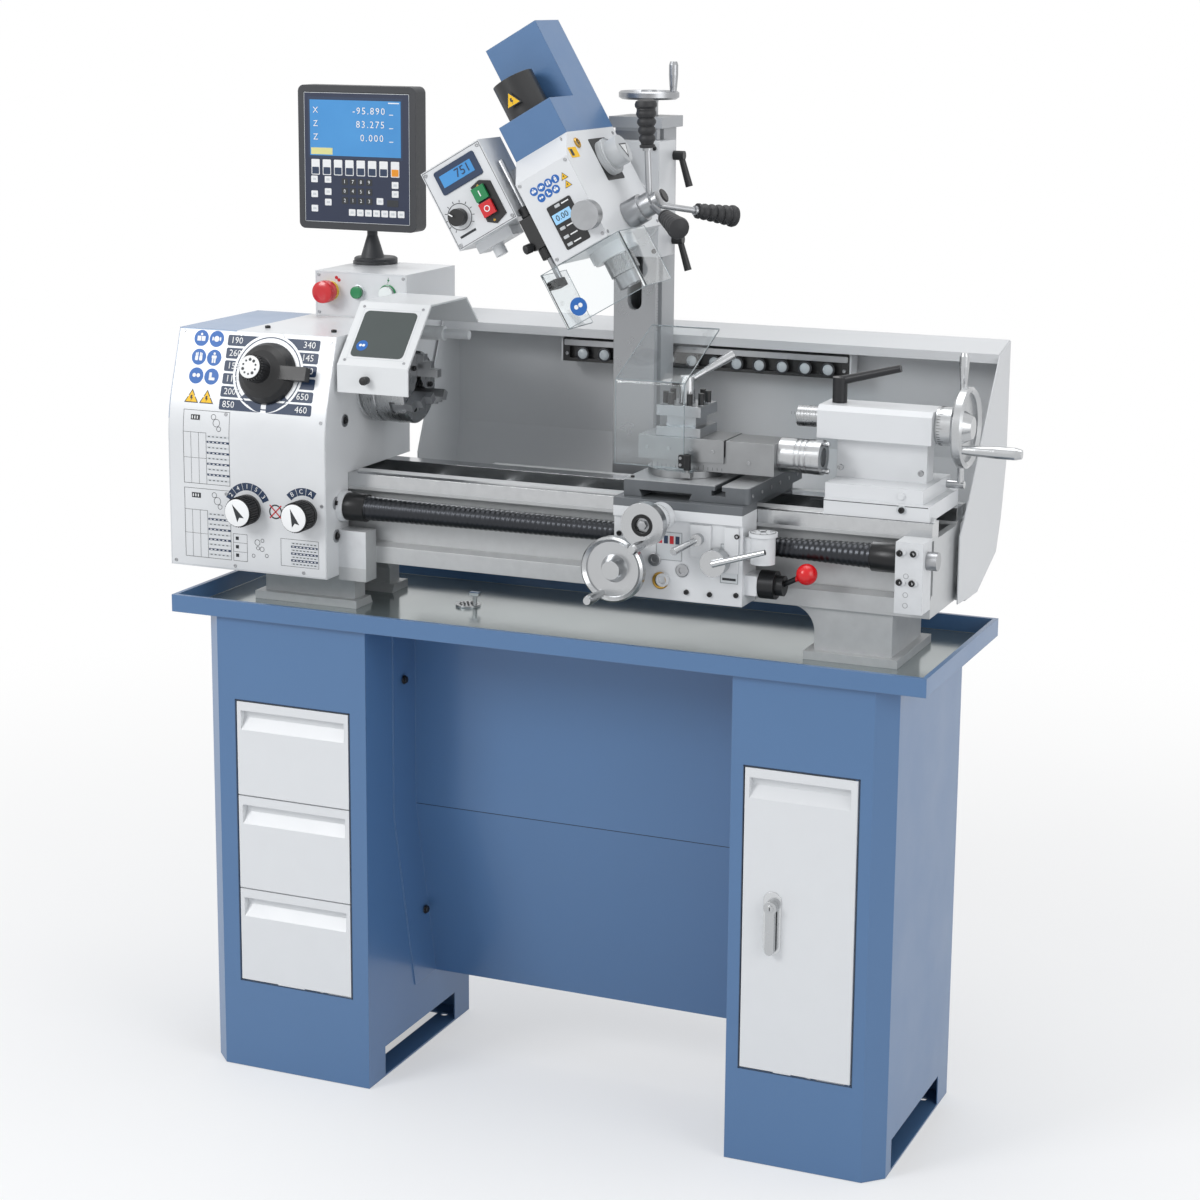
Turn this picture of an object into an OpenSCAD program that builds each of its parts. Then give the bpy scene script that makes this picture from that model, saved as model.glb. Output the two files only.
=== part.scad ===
// Combination lathe and milling machine on a sheet-metal stand.
// Origin: on the floor, at the centre of the outer floor bolts.
// X runs along the lathe bed, Y towards the back, Z up. All lengths are millimetres.

/* [Stand] */
// Width over both cabinets
stand_w = 1240; // [1220:5:1280]
// Depth of the cabinets
cab_d = 395; // [385:5:405]
// Height of the cabinets
cab_h = 818; // [790:1:850]
// Width of the drawer cabinet
left_w = 318; // [310:1:330]
// Width of the door cabinet
right_w = 266; // [255:1:280]
// Thickness of the cabinets' sheet
sheet_t = 2; // [1.5:0.5:3]
// Chamfer on each cabinet's outer front corner
cab_chamfer = 31; // [20:1:40]
// Height of the cut-out at each cabinet's foot
toe_h = 55; // [40:1:70]
// Distance of that cut-out from the cabinet's front and back
toe_inset = 60; // [50:1:80]
// Width of the flange on the floor
flange_w = 42; // [38:1:50]
// Distance of the floor bolts from the cabinets' sides
bolt_inset = 28; // [24:1:32]
// Distance of the floor bolts from the cabinets' front and back
bolt_inset_y = 47.5; // [42:0.5:60]
// Radius of the floor bolt holes
floor_hole_r = 6.5; // [5:0.5:8]
// Width of the side flanges of the panel between the cabinets
panel_flange = 82; // [70:1:90]
// Distance of the panel's upper part from mid-depth
panel_y = 18; // [10:1:30]
// Height of the panel's fold
panel_fold_z = 467; // [420:1:500]
// Height of the panel's lower edge
panel_low_z = 129; // [110:1:160]
// How far the lower edge lies behind the upper part
panel_lean = 76; // [60:1:90]

/* [Tray] */
// Length of the chip tray
tray_l = 1344; // [1320:2:1370]
// Depth of the chip tray
tray_d = 432; // [420:2:450]
// How far the tray stands out in front of the cabinets
tray_over = 10; // [5:1:15]
// Height of the tray's rim
rim_h = 30; // [24:1:36]
// Width of the folded rim
rim_t = 8; // [5:1:12]

/* [Drawers and door] */
// Width of the drawer opening
bay_w = 221; // [200:1:222]
// Distance of the drawer opening from the cabinet's outer side
bay_inset = 65; // [60:1:72]
// Height of the openings above the floor
bay_z = 161; // [150:1:175]
// Height of the openings
bay_h = 510; // [480:1:530]
// Gap round each drawer front and the door
front_gap = 2; // [1.5:0.5:3]
// Depth of a drawer's box
drawer_d = 330; // [300:5:340]
// How far a drawer pulls out
drawer_travel = 280; // [200:5:290]
// Width of the door opening
door_bay_w = 192; // [180:1:196]
// Distance of the door opening from the cabinet's outer side
door_inset = 52; // [46:1:56]

/* [Bed] */
// Distance of the lathe axis behind mid-depth
axis_y = 30; // [25:1:35]
// Height of the lathe spindle above the tray floor
centre_h = 380; // [375:1:385]
// Width over the bed's ways
bed_w = 180; // [176:1:184]
// Length of the bed
bed_l = 1227; // [1220:1:1235]
// Left end of the bed, left of the origin
bed_left = 595; // [590:1:598]
// Height of the ways above the tray floor
way_top = 238; // [235:1:241]
// Underside of the bed above the tray floor
bed_under = 85; // [80:1:90]
// Width of each way's flange
way_w = 36; // [32:1:40]
// Height of the upper flanges
way_h = 28; // [24:1:32]
// Length of a foot's base
foot_l = 201; // [190:1:205]
// Length of the right foot's base
foot_l_right = 158; // [150:1:165]
// Depth of the feet's bases
foot_d = 194; // [188:1:200]
// Thickness of the feet's bases
foot_t = 14; // [12:1:18]

/* [Headstock] */
// Right face of the headstock, left of the origin
head_right = 405; // [402:1:408]
// Length of the headstock casting
head_l = 195; // [190:1:200]
// Length of the change-gear cover
gear_l = 114; // [108:1:120]
// Height of the headstock's top above the tray floor
head_top = 476; // [472:1:480]
// Height of its underside above the tray floor
head_under = 65; // [60:1:70]
// Distance of its front behind the front-most plane, from the lathe axis
head_front = 167; // [163:1:170]
// Distance of its back from the lathe axis
head_back = 142; // [138:1:146]
// Angle at which the upper front leans back
head_lean = 18; // [15:0.5:20]
// Height where the front starts to curve back, above the tray floor
head_bend = 290; // [280:1:300]
// Radius of that curve
head_bend_r = 260; // [220:5:280]
// Radius of the domed speed knob
speed_r = 54; // [50:1:58]
// Radius of the two feed knobs
feed_r = 26; // [22:1:28]

/* [Chuck] */
// Radius of the lathe spindle
spindle_r = 25; // [22:1:28]
// Radius of the chuck
chuck_r = 62.5; // [58:0.5:65]
// Length of the chuck body
chuck_l = 82; // [76:1:88]
// Width of a jaw
jaw_w = 15; // [13:1:17]
// How far the jaws stand out of the chuck
jaw_out = 39; // [33:1:42]
// Length of the chuck guard
hood_l = 134; // [128:1:138]

/* [Controls] */
// Width of the electrical box
ebox_w = 184; // [178:1:188]
// Depth of the electrical box
ebox_d = 192; // [185:1:196]
// Height of the electrical box above the headstock
ebox_h = 81; // [76:1:86]
// Radius of the emergency stop
estop_r = 20; // [18:1:22]
// Radius of the start button
start_r = 11; // [10:1:13]
// Radius of the lit button
lamp_r = 13; // [12:1:15]
// Width of the readout
readout_w = 239; // [230:1:245]
// Height of the readout
readout_h = 259; // [250:1:268]

/* [Carriage] */
// Left end of the carriage, right of the origin
car_left = 119; // [117:1:121]
// Length of the carriage
car_l = 222; // [216:1:224]
// Height of the apron
apron_h = 163; // [158:1:166]
// Thickness of the apron
apron_t = 63; // [60:1:66]
// Radius of the lead screw
lead_r = 11; // [10:0.5:12]
// Radius of the apron wheel
apron_wheel_r = 54; // [50:1:57]
// Thickness of the cross slide
cross_t = 28; // [26:1:30]
// Length of the cross slide from front to back
cross_l = 262; // [255:1:268]
// Radius of the swivel
swivel_r = 62; // [58:1:64]
// Side of the tool post
post_s = 76; // [70:1:80]
// Height of the tool post
post_h = 50; // [46:1:54]
// Radius of the crank disc on the cross slide's screw
cross_disc_r = 36; // [33:1:38]

/* [Tailstock] */
// Left end of the tailstock's body, right of the origin
tail_left = 422; // [420:1:426]
// Length of the tailstock's body
tail_l = 190; // [186:1:194]
// Width of the tailstock's body
tail_w = 84; // [80:1:86]
// Radius of the quill
quill_r = 17; // [15:1:19]
// How far the quill stands out at rest
quill_out = 44; // [38:1:48]
// Radius of the tailstock wheel
tail_wheel_r = 65; // [60:1:67]

/* [Splash guard] */
// Distance of the splash guard's back from mid-depth
splash_y = 352; // [346:1:358]
// Height of its upper edge above the tray
splash_h = 479; // [470:1:490]
// Depth of its upper lip
lip_d = 69; // [60:1:72]
// Thickness of its sheet
splash_t = 2; // [1.5:0.5:3]
// Length of the lamp
lamp_l = 535; // [500:5:550]
// Number of light-emitting diodes in the lamp
led_n = 12; // [10:1:14]

/* [Column] */
// Distance of the column's centre right of the origin
col_x = 21.5; // [20:0.5:23]
// Width of the column
col_w = 77; // [74:1:80]
// Distance of the column's front behind mid-depth
col_y = 190; // [188:1:192]
// Depth of the column
col_d = 88; // [84:1:90]
// Height of the column's top above the tray
col_h = 825; // [820:1:840]
// Height of its underside above the tray
col_up = 140; // [130:1:150]
// Radius of the column's handwheel
col_wheel_r = 52; // [48:1:56]

/* [Mill head] */
// Height of the head's pivot above the tray
pivot_h = 682; // [678:1:686]
// Angle at which the head leans to the left
tilt = 30; // [25:1:32]
// Width of the head's casting
mill_w = 104; // [98:1:108]
// Height of the casting below the pivot
mill_down = 46; // [42:1:50]
// Height of the casting above the pivot
mill_up = 139; // [134:1:144]
// Distance of the head's front from mid-depth
mill_front = 92; // [88:1:96]
// Height of the belt cover's forward block
cover_low_h = 63; // [58:1:68]
// Height of the whole belt cover
cover_h = 203; // [195:1:210]
// Radius of the motor
motor_r = 36; // [32:1:38]
// Radius of the mill's quill
mq_r = 25; // [23:1:27]
// Radius of the mill's spindle
ms_r = 15; // [13:1:17]
// Length of the feed levers
lever_len = 165; // [155:1:170]
// Width of the mill's control box
mbox_w = 122; // [116:1:126]
// Height of the mill's control box
mbox_h = 143; // [138:1:148]
// Depth of the mill's control box
mbox_d = 85; // [80:1:90]
// Height of the clear guard under the head
mguard_h = 98; // [95:1:108]

/* [Hidden] */
$fn = 64;

// Clearances: sliding faces, running bores, and how far a cut passes a face
gap = 0.3;
grid_n = 1024;
dark = [0.12, 0.12, 0.12];
pale = [0.92, 0.92, 0.92];
steel = [0.79, 0.80, 0.81];
run = 0.05;
over = 1;

// Smaller sizes
lever_n = 3;
latch_h = 105;
latch_w = 30;
drain_r = 22;
clear_t = 3;
front_d = 18;
plate_t = 2;
vee_h = 7;
web_t = 12;
low_h = 36;
feed_len = 36;
spindle_bore_r = 11.5;
readout_d = 40;
elev_r = 8;
rod_r = 8.5;

// Stand
cab_x = stand_w / 2;
cab_y = cab_d / 2;
left_in = -cab_x + left_w;
right_in = cab_x - right_w;
tray_z = cab_h + sheet_t;
tray_front = -cab_y - tray_over;
tray_back = tray_front + tray_d;
bolt_y = cab_y - bolt_inset_y;
bolt_x = cab_x - bolt_inset;
flange_t = 3;

// Drawers and door
bay_x = -cab_x + bay_inset;
front_w = bay_w - 2 * front_gap;
front_h = (bay_h - 4 * front_gap) / 3;
box_inset = 8;
runner_w = 14;
runner_t = 6;
pull_h = 50;
pull_lip = 16;
pull_d = 13;
door_right = cab_x - door_inset;
door_left = door_right - door_bay_w;
hinge_in = 3;
pin_r = 2;
pin_len = 10;
tab_d = 12;
latch_x = door_left + front_gap + latch_w * 1.7;
latch_z = bay_z + bay_h / 2;
latch_shaft_r = 6;
latch_pivot_z = latch_z + latch_h * 0.27;
cam_l = latch_x - door_left + 7;

splash_top = tray_z + splash_h;
col_top = tray_z + col_h;
col_low = tray_z + col_up;
pivot_z = tray_z + pivot_h;

// Lathe
bed_x0 = -bed_left;
bed_x1 = bed_x0 + bed_l;
bed_f = axis_y - bed_w / 2;
bed_b = axis_y + bed_w / 2;
bed_z0 = tray_z + bed_under;
bed_z1 = tray_z + way_top;
axis_z = tray_z + centre_h;
vee_y = bed_f + way_w / 2;
head_x1 = -head_right;
head_x0 = head_x1 - head_l;
gear_x0 = head_x0 - gear_l;
hf = axis_y - head_front;
hb = axis_y + head_back;
hz0 = tray_z + head_under;
hz1 = tray_z + head_top;
hbend_z = tray_z + head_bend;
hcurve_y = hf + head_bend_r * (1 - cos(head_lean));
hcurve_z = hbend_z + head_bend_r * sin(head_lean);
wall_t = 12;
lead_y = bed_f - 22;
lead_z = bed_z1 - 54;
speed_x = head_x0 + head_l * 0.37;
speed_z = hz1 - head_top * 0.143;
speed_y = hcurve_y + (speed_z - hcurve_z) * tan(head_lean);
knob_z = lead_z - 9;
knob_a_x = head_x0 + feed_r * 1.62;
knob_b_x = head_x1 - feed_r * 1.65;
knob_shaft_r = 5;
hood_x0 = head_x1 + 7;
hood_x1 = hood_x0 + hood_l;
hood_t = 3;
hood_pin_y = axis_y + 110;
hood_pin_z = hz1 - 16;
hood_pin_r = 8;
hood_z1 = hz1 + 54;
hood_front = axis_y - 137;
hood_edge_z = axis_z + 52;
hood_low_z = axis_z + 5;
chuck_x0 = head_x1 + 10;
chuck_x1 = chuck_x0 + chuck_l;
jaw_slot = 28;
jaw_in_r = 20;

// Controls
ebox_x1 = head_x1 + 5;
ebox_x0 = ebox_x1 - ebox_w;
ebox_y0 = hb - 17;
ebox_y1 = ebox_y0 + ebox_d;
ebox_z1 = hz1 + ebox_h;
button_z = hz1 + ebox_h * 0.57;
estop_x = ebox_x0 + ebox_w * 0.163;
start_x = ebox_x0 + ebox_w * 0.473;
lamp_x = ebox_x0 + ebox_w * 0.793;
stem_r = 6;
post_x = ebox_x0 + 39;
post_y = ebox_y1 - 47;
neck_h = 47;
readout_x0 = post_x - readout_w / 2;
readout_y = post_y - 17;
readout_z = ebox_z1 + 66;

// Carriage
car_x0 = car_left;
car_x1 = car_x0 + car_l;
saddle_t = 14;
saddle_z = bed_z1 + gap;
saddle_top = saddle_z + saddle_t;
apron_f = bed_f - 65;
apron_z0 = saddle_z - apron_h + saddle_t;
wheel_x = car_x0 + 18;
wheel_z = apron_z0 + apron_h * 0.325;
shaft_r = 8;
crank_x = car_x0 + 84;
crank_z = saddle_top - 25;
crank_house_r = 23;
crank_house_l = 70;
table_x0 = car_x0 + 11;
table_x1 = car_x1 + 4;
table_y0 = axis_y - 142;
table_y1 = table_y0 + cross_l;
table_z0 = saddle_top + gap;
table_z1 = table_z0 + cross_t;
slot_x = table_x1 - 52;
tail_dove = 90;
dove_h = 11;
sw_x = car_x0 + 83;
sw_y = axis_y - 50;
sw_z1 = table_z1 + gap + 11;
comp_half = 38;
comp_x0 = sw_x - 44;
comp_x1 = sw_x + 165;
comp_step = sw_x + 82;
comp_z1 = sw_z1 + 25;
top_z0 = comp_z1 + gap;
top_z1 = top_z0 + 28;
top_x0 = sw_x - 67;
crank2_z = sw_z1 + 31;
crank2_r = 28;
post_z0 = top_z1 + gap;
post_z1 = post_z0 + post_h;
lever_z = post_z1 + 39;
guard_x0 = sw_x - 101;
guard_x1 = sw_x + 19;
guard_y = sw_y - 62;
guard_hinge_x = guard_x1 + 6;
guard_pin_r = 3;

// Tailstock
tail_x1 = tail_left + tail_l;
tail_f = axis_y - tail_w / 2;
tail_bk = axis_y + tail_w / 2;
tail_z1 = axis_z + 26;
tail_z0 = axis_z - 27;
tbase_x0 = tail_left + 28;
tbase_x1 = tail_x1 + 13;
tbase_z = bed_z1 + gap;
tbase_z1 = tbase_z + 26;
tbase_z2 = tbase_z1 + 24;
neck_w = 38;
tlock_x = tail_left + 24;
tclamp_y = axis_y + 58;
tclamp_z = tbase_z1 + 12;

// Splash guard
splash_x0 = head_x1 + 13;
splash_x1 = bed_x1 + 9;
lip_y = splash_y - lip_d;
lip_z = splash_top - 16;
lamp_x0 = splash_x0 + 232;
lamp_y = splash_y - 52;
lamp_z = splash_top - 77;
lamp_h = 40;
lamp_d = 35;

// Column
col_x0 = col_x - col_w / 2;
col_x1 = col_x + col_w / 2;
col_b = col_y + col_d;
screw_y = col_y + 56;
cap_h = 19;
slot_w = 26;
slot_z = pivot_z - 167;
hc_z0 = pivot_z - 72;
hc_z1 = pivot_z + 123;
hc_t = 18;
hc_x0 = col_x0 - hc_t;
hc_x1 = col_x1 + hc_t;
hc_y = col_y - 35;
wheel_top = col_top + cap_h + 40;

// Mill head, in its own tilted frame: X across, Z up the spindle, origin at the pivot
mh = mill_w / 2;
fold_w = mill_up - 39;
cover_y = -mill_front + 45;
upper_y = cover_y + 97;
mill_back = hc_y - 10;
mbox_x1 = -mh - 33;
mbox_x0 = mbox_x1 - mbox_w;
mbox_z1 = mill_up + 62;
mbox_z0 = mbox_z1 - mbox_h;
mbox_y = -mill_front + 25;
cap_y = axis_y - 5;
cap_z = -20;
cap_x = mh + 43;
lever_slant = 27;
sel_y = axis_y + 20;
sel_z = mill_up - 55;
rod_x = -mh - 24;
rod_y = -mill_front + 45;
mg_z1 = -mill_down - 1;
mg_z0 = mg_z1 - mguard_h;
mg_x0 = rod_x - 13;
mg_x1 = mh + 18;
mg_y = -mill_front + 5;

// Rounds to a fine binary grid, so that faces that meet share one plane
function grid(v) = round(v * grid_n) / grid_n;
module outline(p) { polygon([for (q = p) [grid(q[0]), grid(q[1])]]); }
// A box between two corners
module slab(x0, x1, y0, y1, z0, z1) {
  a = [grid(x0), grid(y0), grid(z0)];
  translate(a) cube([grid(x1), grid(y1), grid(z1)] - a);
}

// Round bars along each axis
module bar_x(x0, x1, y, z, r) {
  translate([grid(x0), y, z]) rotate([0, 90, 0]) cylinder(h = grid(x1) - grid(x0), r = r);
}

module bar_y(y0, y1, x, z, r) {
  translate([x, grid(y1), z]) rotate([90, 0, 0]) cylinder(h = grid(y1) - grid(y0), r = r);
}

module bar_z(z0, z1, x, y, r) {
  translate([x, y, grid(z0)]) cylinder(h = grid(z1) - grid(z0), r = r);
}

// A round bar between two points
module bar(a, b, r, r2 = -1) {
  d = b - a;
  l = norm(d);
  translate(a) rotate([0, acos(d[2] / l), atan2(d[1], d[0])])
    cylinder(h = l, r1 = r, r2 = r2 < 0 ? r : r2);
}

// A profile in Y and Z, pushed along X
module along_x(x0, x1) {
  translate([grid(x0), 0, 0]) rotate([90, 0, 90]) linear_extrude(grid(x1) - grid(x0)) children();
}

// A profile in X and Z, pushed along Y
module along_y(y0, y1) {
  translate([0, grid(y1), 0]) rotate([90, 0, 0]) linear_extrude(grid(y1) - grid(y0)) children();
}

// A box with round vertical edges
module pillow(x0, x1, y0, y1, z0, z1, r) {
  slab(x0 + r, x1 - r, y0, y1, z0, z1);
  slab(x0, x1, y0 + r, y1 - r, z0, z1);
  for (x = [x0 + r, x1 - r]) for (y = [y0 + r, y1 - r]) bar_z(z0, z1, x, y, r);
}

// A turned handle along +Z: a slim root, a fuller middle, a rounded end
module handle(l, r) {
  rotate_extrude() outline([[0, 0], [r * 0.7, 0], [r * 0.7, l * 0.1], [r * 0.85, l * 0.3],
    [r, l * 0.6], [r, l * 0.9], [r * 0.75, l], [0, l]]);
}

// Frame of the tilted mill head
module in_head() {
  translate([col_x, 0, pivot_z]) rotate([0, -tilt, 0]) children();
}

// Outline of a cabinet, with its outer front corner cut off
module cab_outline(w, inset) {
  c = cab_chamfer + inset * 0.4;
  outline([[c + inset, inset], [w - inset, inset], [w - inset, cab_d - inset],
    [inset, cab_d - inset], [inset, c + inset]]);
}

// One cabinet's shell with its floor flange and its two toe cut-outs
module cab_shell(w) {
  difference() {
    union() {
      difference() {
        linear_extrude(grid(cab_h)) cab_outline(w, 0);
        translate([0, 0, -over]) linear_extrude(grid(cab_h) + 2 * over) cab_outline(w, sheet_t);
      }
      difference() {
        linear_extrude(flange_t) cab_outline(w, 0);
        translate([0, 0, -over]) linear_extrude(flange_t + 2 * over)
          cab_outline(w, flange_w);
      }
    }
    slab(-over, w + over, toe_inset, cab_d - toe_inset, flange_t, toe_h);
    for (x = [bolt_inset, w - bolt_inset]) for (y = [bolt_inset_y, cab_d - bolt_inset_y])
      bar_z(-over, flange_t + over, x, y, floor_hole_r);
  }
}

// Runner on one side of a drawer: a bar between the front and back sheets, and a ledge
module runner(x, side, z) {
  slab(min(x, x + side * runner_t), max(x, x + side * runner_t),
    -cab_y + sheet_t, cab_y - sheet_t, z - runner_w, z);
  slab(min(x + side * runner_t, x - side * (runner_w + box_inset)),
    max(x + side * runner_t, x - side * (runner_w + box_inset)),
    -cab_y + front_d + over, cab_y - sheet_t, z - sheet_t, z);
}

function drawer_z(i) = bay_z + front_gap + i * (front_h + front_gap);
function floor_z(i) = drawer_z(i) + front_h * 0.1;

module cabinets() {
  color([0.36, 0.51, 0.70]) {
    difference() {
      translate([-cab_x, -cab_y, 0]) cab_shell(left_w);
      slab(bay_x, bay_x + bay_w, -cab_y - over, -cab_y + sheet_t + over, bay_z, bay_z + bay_h);
    }
    for (i = [0 : 2]) {
      runner(bay_x, -1, floor_z(i) - gap);
      runner(bay_x + bay_w, 1, floor_z(i) - gap);
    }
    difference() {
      translate([cab_x, -cab_y, 0]) mirror([1, 0, 0]) cab_shell(right_w);
      slab(door_left, door_right, -cab_y - over, -cab_y + sheet_t + over, bay_z,
        bay_z + bay_h);
    }
    for (s = [-1, 1]) {
      z = s < 0 ? bay_z : bay_z + bay_h;
      slab(door_right - tab_d, door_right + tab_d, -cab_y + sheet_t,
        -cab_y + sheet_t + tab_d, min(z, z + s * sheet_t), max(z, z + s * sheet_t));
      bar_z(min(z, z - s * pin_len), max(z, z - s * pin_len),
        door_right - front_gap - hinge_in, -cab_y + hinge_in, pin_r);
    }
    back_panel();
  }
}

// The folded panel that joins the cabinets, with its bolted side flanges
module back_panel() {
  py = -panel_y;
  ly = py + panel_lean;
  along_x(left_in, right_in) outline([[py, cab_h], [py, panel_fold_z], [ly, panel_low_z],
    [ly + sheet_t, panel_low_z], [py + sheet_t, panel_fold_z], [py + sheet_t, cab_h]]);
  for (x = [left_in, right_in - sheet_t]) along_x(x, x + sheet_t)
    outline([[py - panel_flange, cab_h], [py - panel_flange, panel_fold_z],
      [ly - panel_flange, panel_low_z], [ly + sheet_t, panel_low_z],
      [py + sheet_t, panel_fold_z], [py + sheet_t, cab_h]]);
  bolt_h = sheet_t * 2;
  for (p = [[py - panel_flange * 0.56, cab_h - panel_flange * 1.4],
      [ly - panel_flange * 0.56, panel_low_z + panel_flange * 1.6]]) {
    bar_x(left_in + sheet_t, left_in + sheet_t + bolt_h, p[0], p[1], sheet_t * 2.5);
    bar_x(right_in - sheet_t - bolt_h, right_in - sheet_t, p[0], p[1], sheet_t * 2.5);
  }
}

// A drawer: a pan front with a scooped pull, and an open sheet box behind it
module drawer(i) {
  z = drawer_z(i);
  x0 = bay_x + front_gap;
  bz = floor_z(i);
  bh = front_h * 0.66;
  difference() {
    slab(x0, x0 + front_w, -cab_y, -cab_y + front_d, z, z + front_h);
    along_x(x0 + box_inset, x0 + front_w - box_inset) outline([
      [-cab_y - over, z + front_h - pull_h], [-cab_y, z + front_h - pull_h],
      [-cab_y + pull_d, z + front_h - pull_h * 0.6],
      [-cab_y + pull_d, z + front_h - pull_lip], [-cab_y - over, z + front_h - pull_lip]]);
  }
  difference() {
    slab(x0 + box_inset, x0 + front_w - box_inset, -cab_y + front_d,
      -cab_y + front_d + drawer_d, bz, bz + bh);
    slab(x0 + box_inset + sheet_t, x0 + front_w - box_inset - sheet_t,
      -cab_y + front_d + sheet_t, -cab_y + front_d + drawer_d - sheet_t,
      bz + sheet_t, bz + bh + over);
  }
}

module drawer_bottom() { color(pale) drawer(0); }
module drawer_middle() { color(pale) drawer(1); }
module drawer_top() { color(pale) drawer(2); }

// The door: a pan with a scooped pull, its latch plate and two hinge sockets
module cabinet_door() {
  x0 = door_left + front_gap;
  x1 = door_right - front_gap;
  z0 = bay_z + front_gap;
  z1 = bay_z + bay_h - front_gap;
  hx = x1 - hinge_in;
  hy = -cab_y + hinge_in;
  color(pale) difference() {
    union() {
      slab(x0, x1 - hinge_in, -cab_y, -cab_y + front_d, z0, z1);
      slab(x1 - 2 * hinge_in, x1, hy, -cab_y + front_d, z0, z1);
      bar_z(z0, z1, hx, hy, hinge_in);
      slab(latch_x - latch_w / 2, latch_x + latch_w / 2, -cab_y - sheet_t, -cab_y,
        latch_z - (latch_h - latch_w) / 2, latch_z + (latch_h - latch_w) / 2);
      for (s = [-1, 1]) bar_y(-cab_y - sheet_t, -cab_y, latch_x,
        latch_z + s * (latch_h - latch_w) / 2, latch_w / 2);
    }
    slab(x0 + sheet_t, x1 - 4 * hinge_in, -cab_y + front_d - sheet_t * 1.5,
      -cab_y + front_d + over, z0 + pull_lip, z1 - pull_h * 1.3);
    along_x(x0 + box_inset, x1 - 4 * hinge_in) outline([
      [-cab_y - over, z1 - pull_h], [-cab_y, z1 - pull_h],
      [-cab_y + pull_d, z1 - pull_h * 0.6], [-cab_y + pull_d, z1 - pull_lip],
      [-cab_y - over, z1 - pull_lip]]);
    bar_z(z0 - over, z0 + pin_len, hx, hy, pin_r + run);
    bar_z(z1 - pin_len, z1 + over, hx, hy, pin_r + run);
    bar_y(-cab_y - over * 4, -cab_y + front_d + over, latch_x, latch_pivot_z,
      latch_shaft_r + run);
  }
}

// The latch: a hanging grip outside, a shaft through the door and a cam inside
module door_latch() {
  y0 = -cab_y - sheet_t - gap;
  color(steel) {
    bar_y(y0, -cab_y + front_d + gap, latch_x, latch_pivot_z, latch_shaft_r);
    bar_y(y0 - latch_w * 0.4, y0, latch_x, latch_pivot_z, latch_w * 0.36);
    slab(latch_x - latch_w * 0.25, latch_x + latch_w * 0.25, y0 - latch_w * 0.4,
      y0 - latch_w * 0.1, latch_pivot_z - latch_h * 0.68, latch_pivot_z);
    bar_y(y0 - latch_w * 0.4, y0 - latch_w * 0.1, latch_x, latch_pivot_z - latch_h * 0.68,
      latch_w * 0.25);
    slab(latch_x - latch_shaft_r, latch_x + latch_shaft_r, -cab_y + front_d + gap,
      -cab_y + front_d + gap + sheet_t * 2, latch_pivot_z - cam_l, latch_pivot_z + latch_shaft_r);
  }
}

// The folded chip tray, with a strainer and a tap over its drain
module chip_tray() {
  x = tray_l / 2;
  dx = car_x0 - 342;
  dy = axis_y + 6;
  color([0.33, 0.49, 0.69]) {
    slab(-x, x, tray_front, tray_back, cab_h, tray_z);
    difference() {
      slab(-x, x, tray_front, tray_back, cab_h, cab_h + rim_h);
      slab(-x + rim_t, x - rim_t, tray_front + rim_t, tray_back - rim_t, cab_h - over,
        cab_h + rim_h + over);
    }
    bar_z(tray_z, tray_z + sheet_t * 2, dx, dy, drain_r);
    bar_z(tray_z, tray_z + drain_r * 0.9, dx + drain_r * 0.6, dy, drain_r * 0.18);
    slab(dx + drain_r * 0.2, dx + drain_r, dy - drain_r * 0.2, dy + drain_r * 0.2,
      tray_z + drain_r * 0.9, tray_z + drain_r * 1.2);
  }
}

// One way of the bed: an upper and a lower flange joined by a wall
module rail(y0, out) {
  y1 = y0 + out * way_w;
  yw = y0 + out * way_w * 0.35;
  slab(bed_x0, bed_x1, min(y0, y1), max(y0, y1), bed_z1 - way_h, bed_z1);
  slab(bed_x0, bed_x1, min(yw, yw + out * web_t), max(yw, yw + out * web_t), bed_z0, bed_z1);
  along_x(bed_x0, bed_x1) outline([[y0, bed_z0], [y0, bed_z0 + low_h - web_t * 0.6],
    [y0 + out * web_t * 0.6, bed_z0 + low_h], [y1, bed_z0 + low_h], [y1, bed_z0]]);
}

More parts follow.
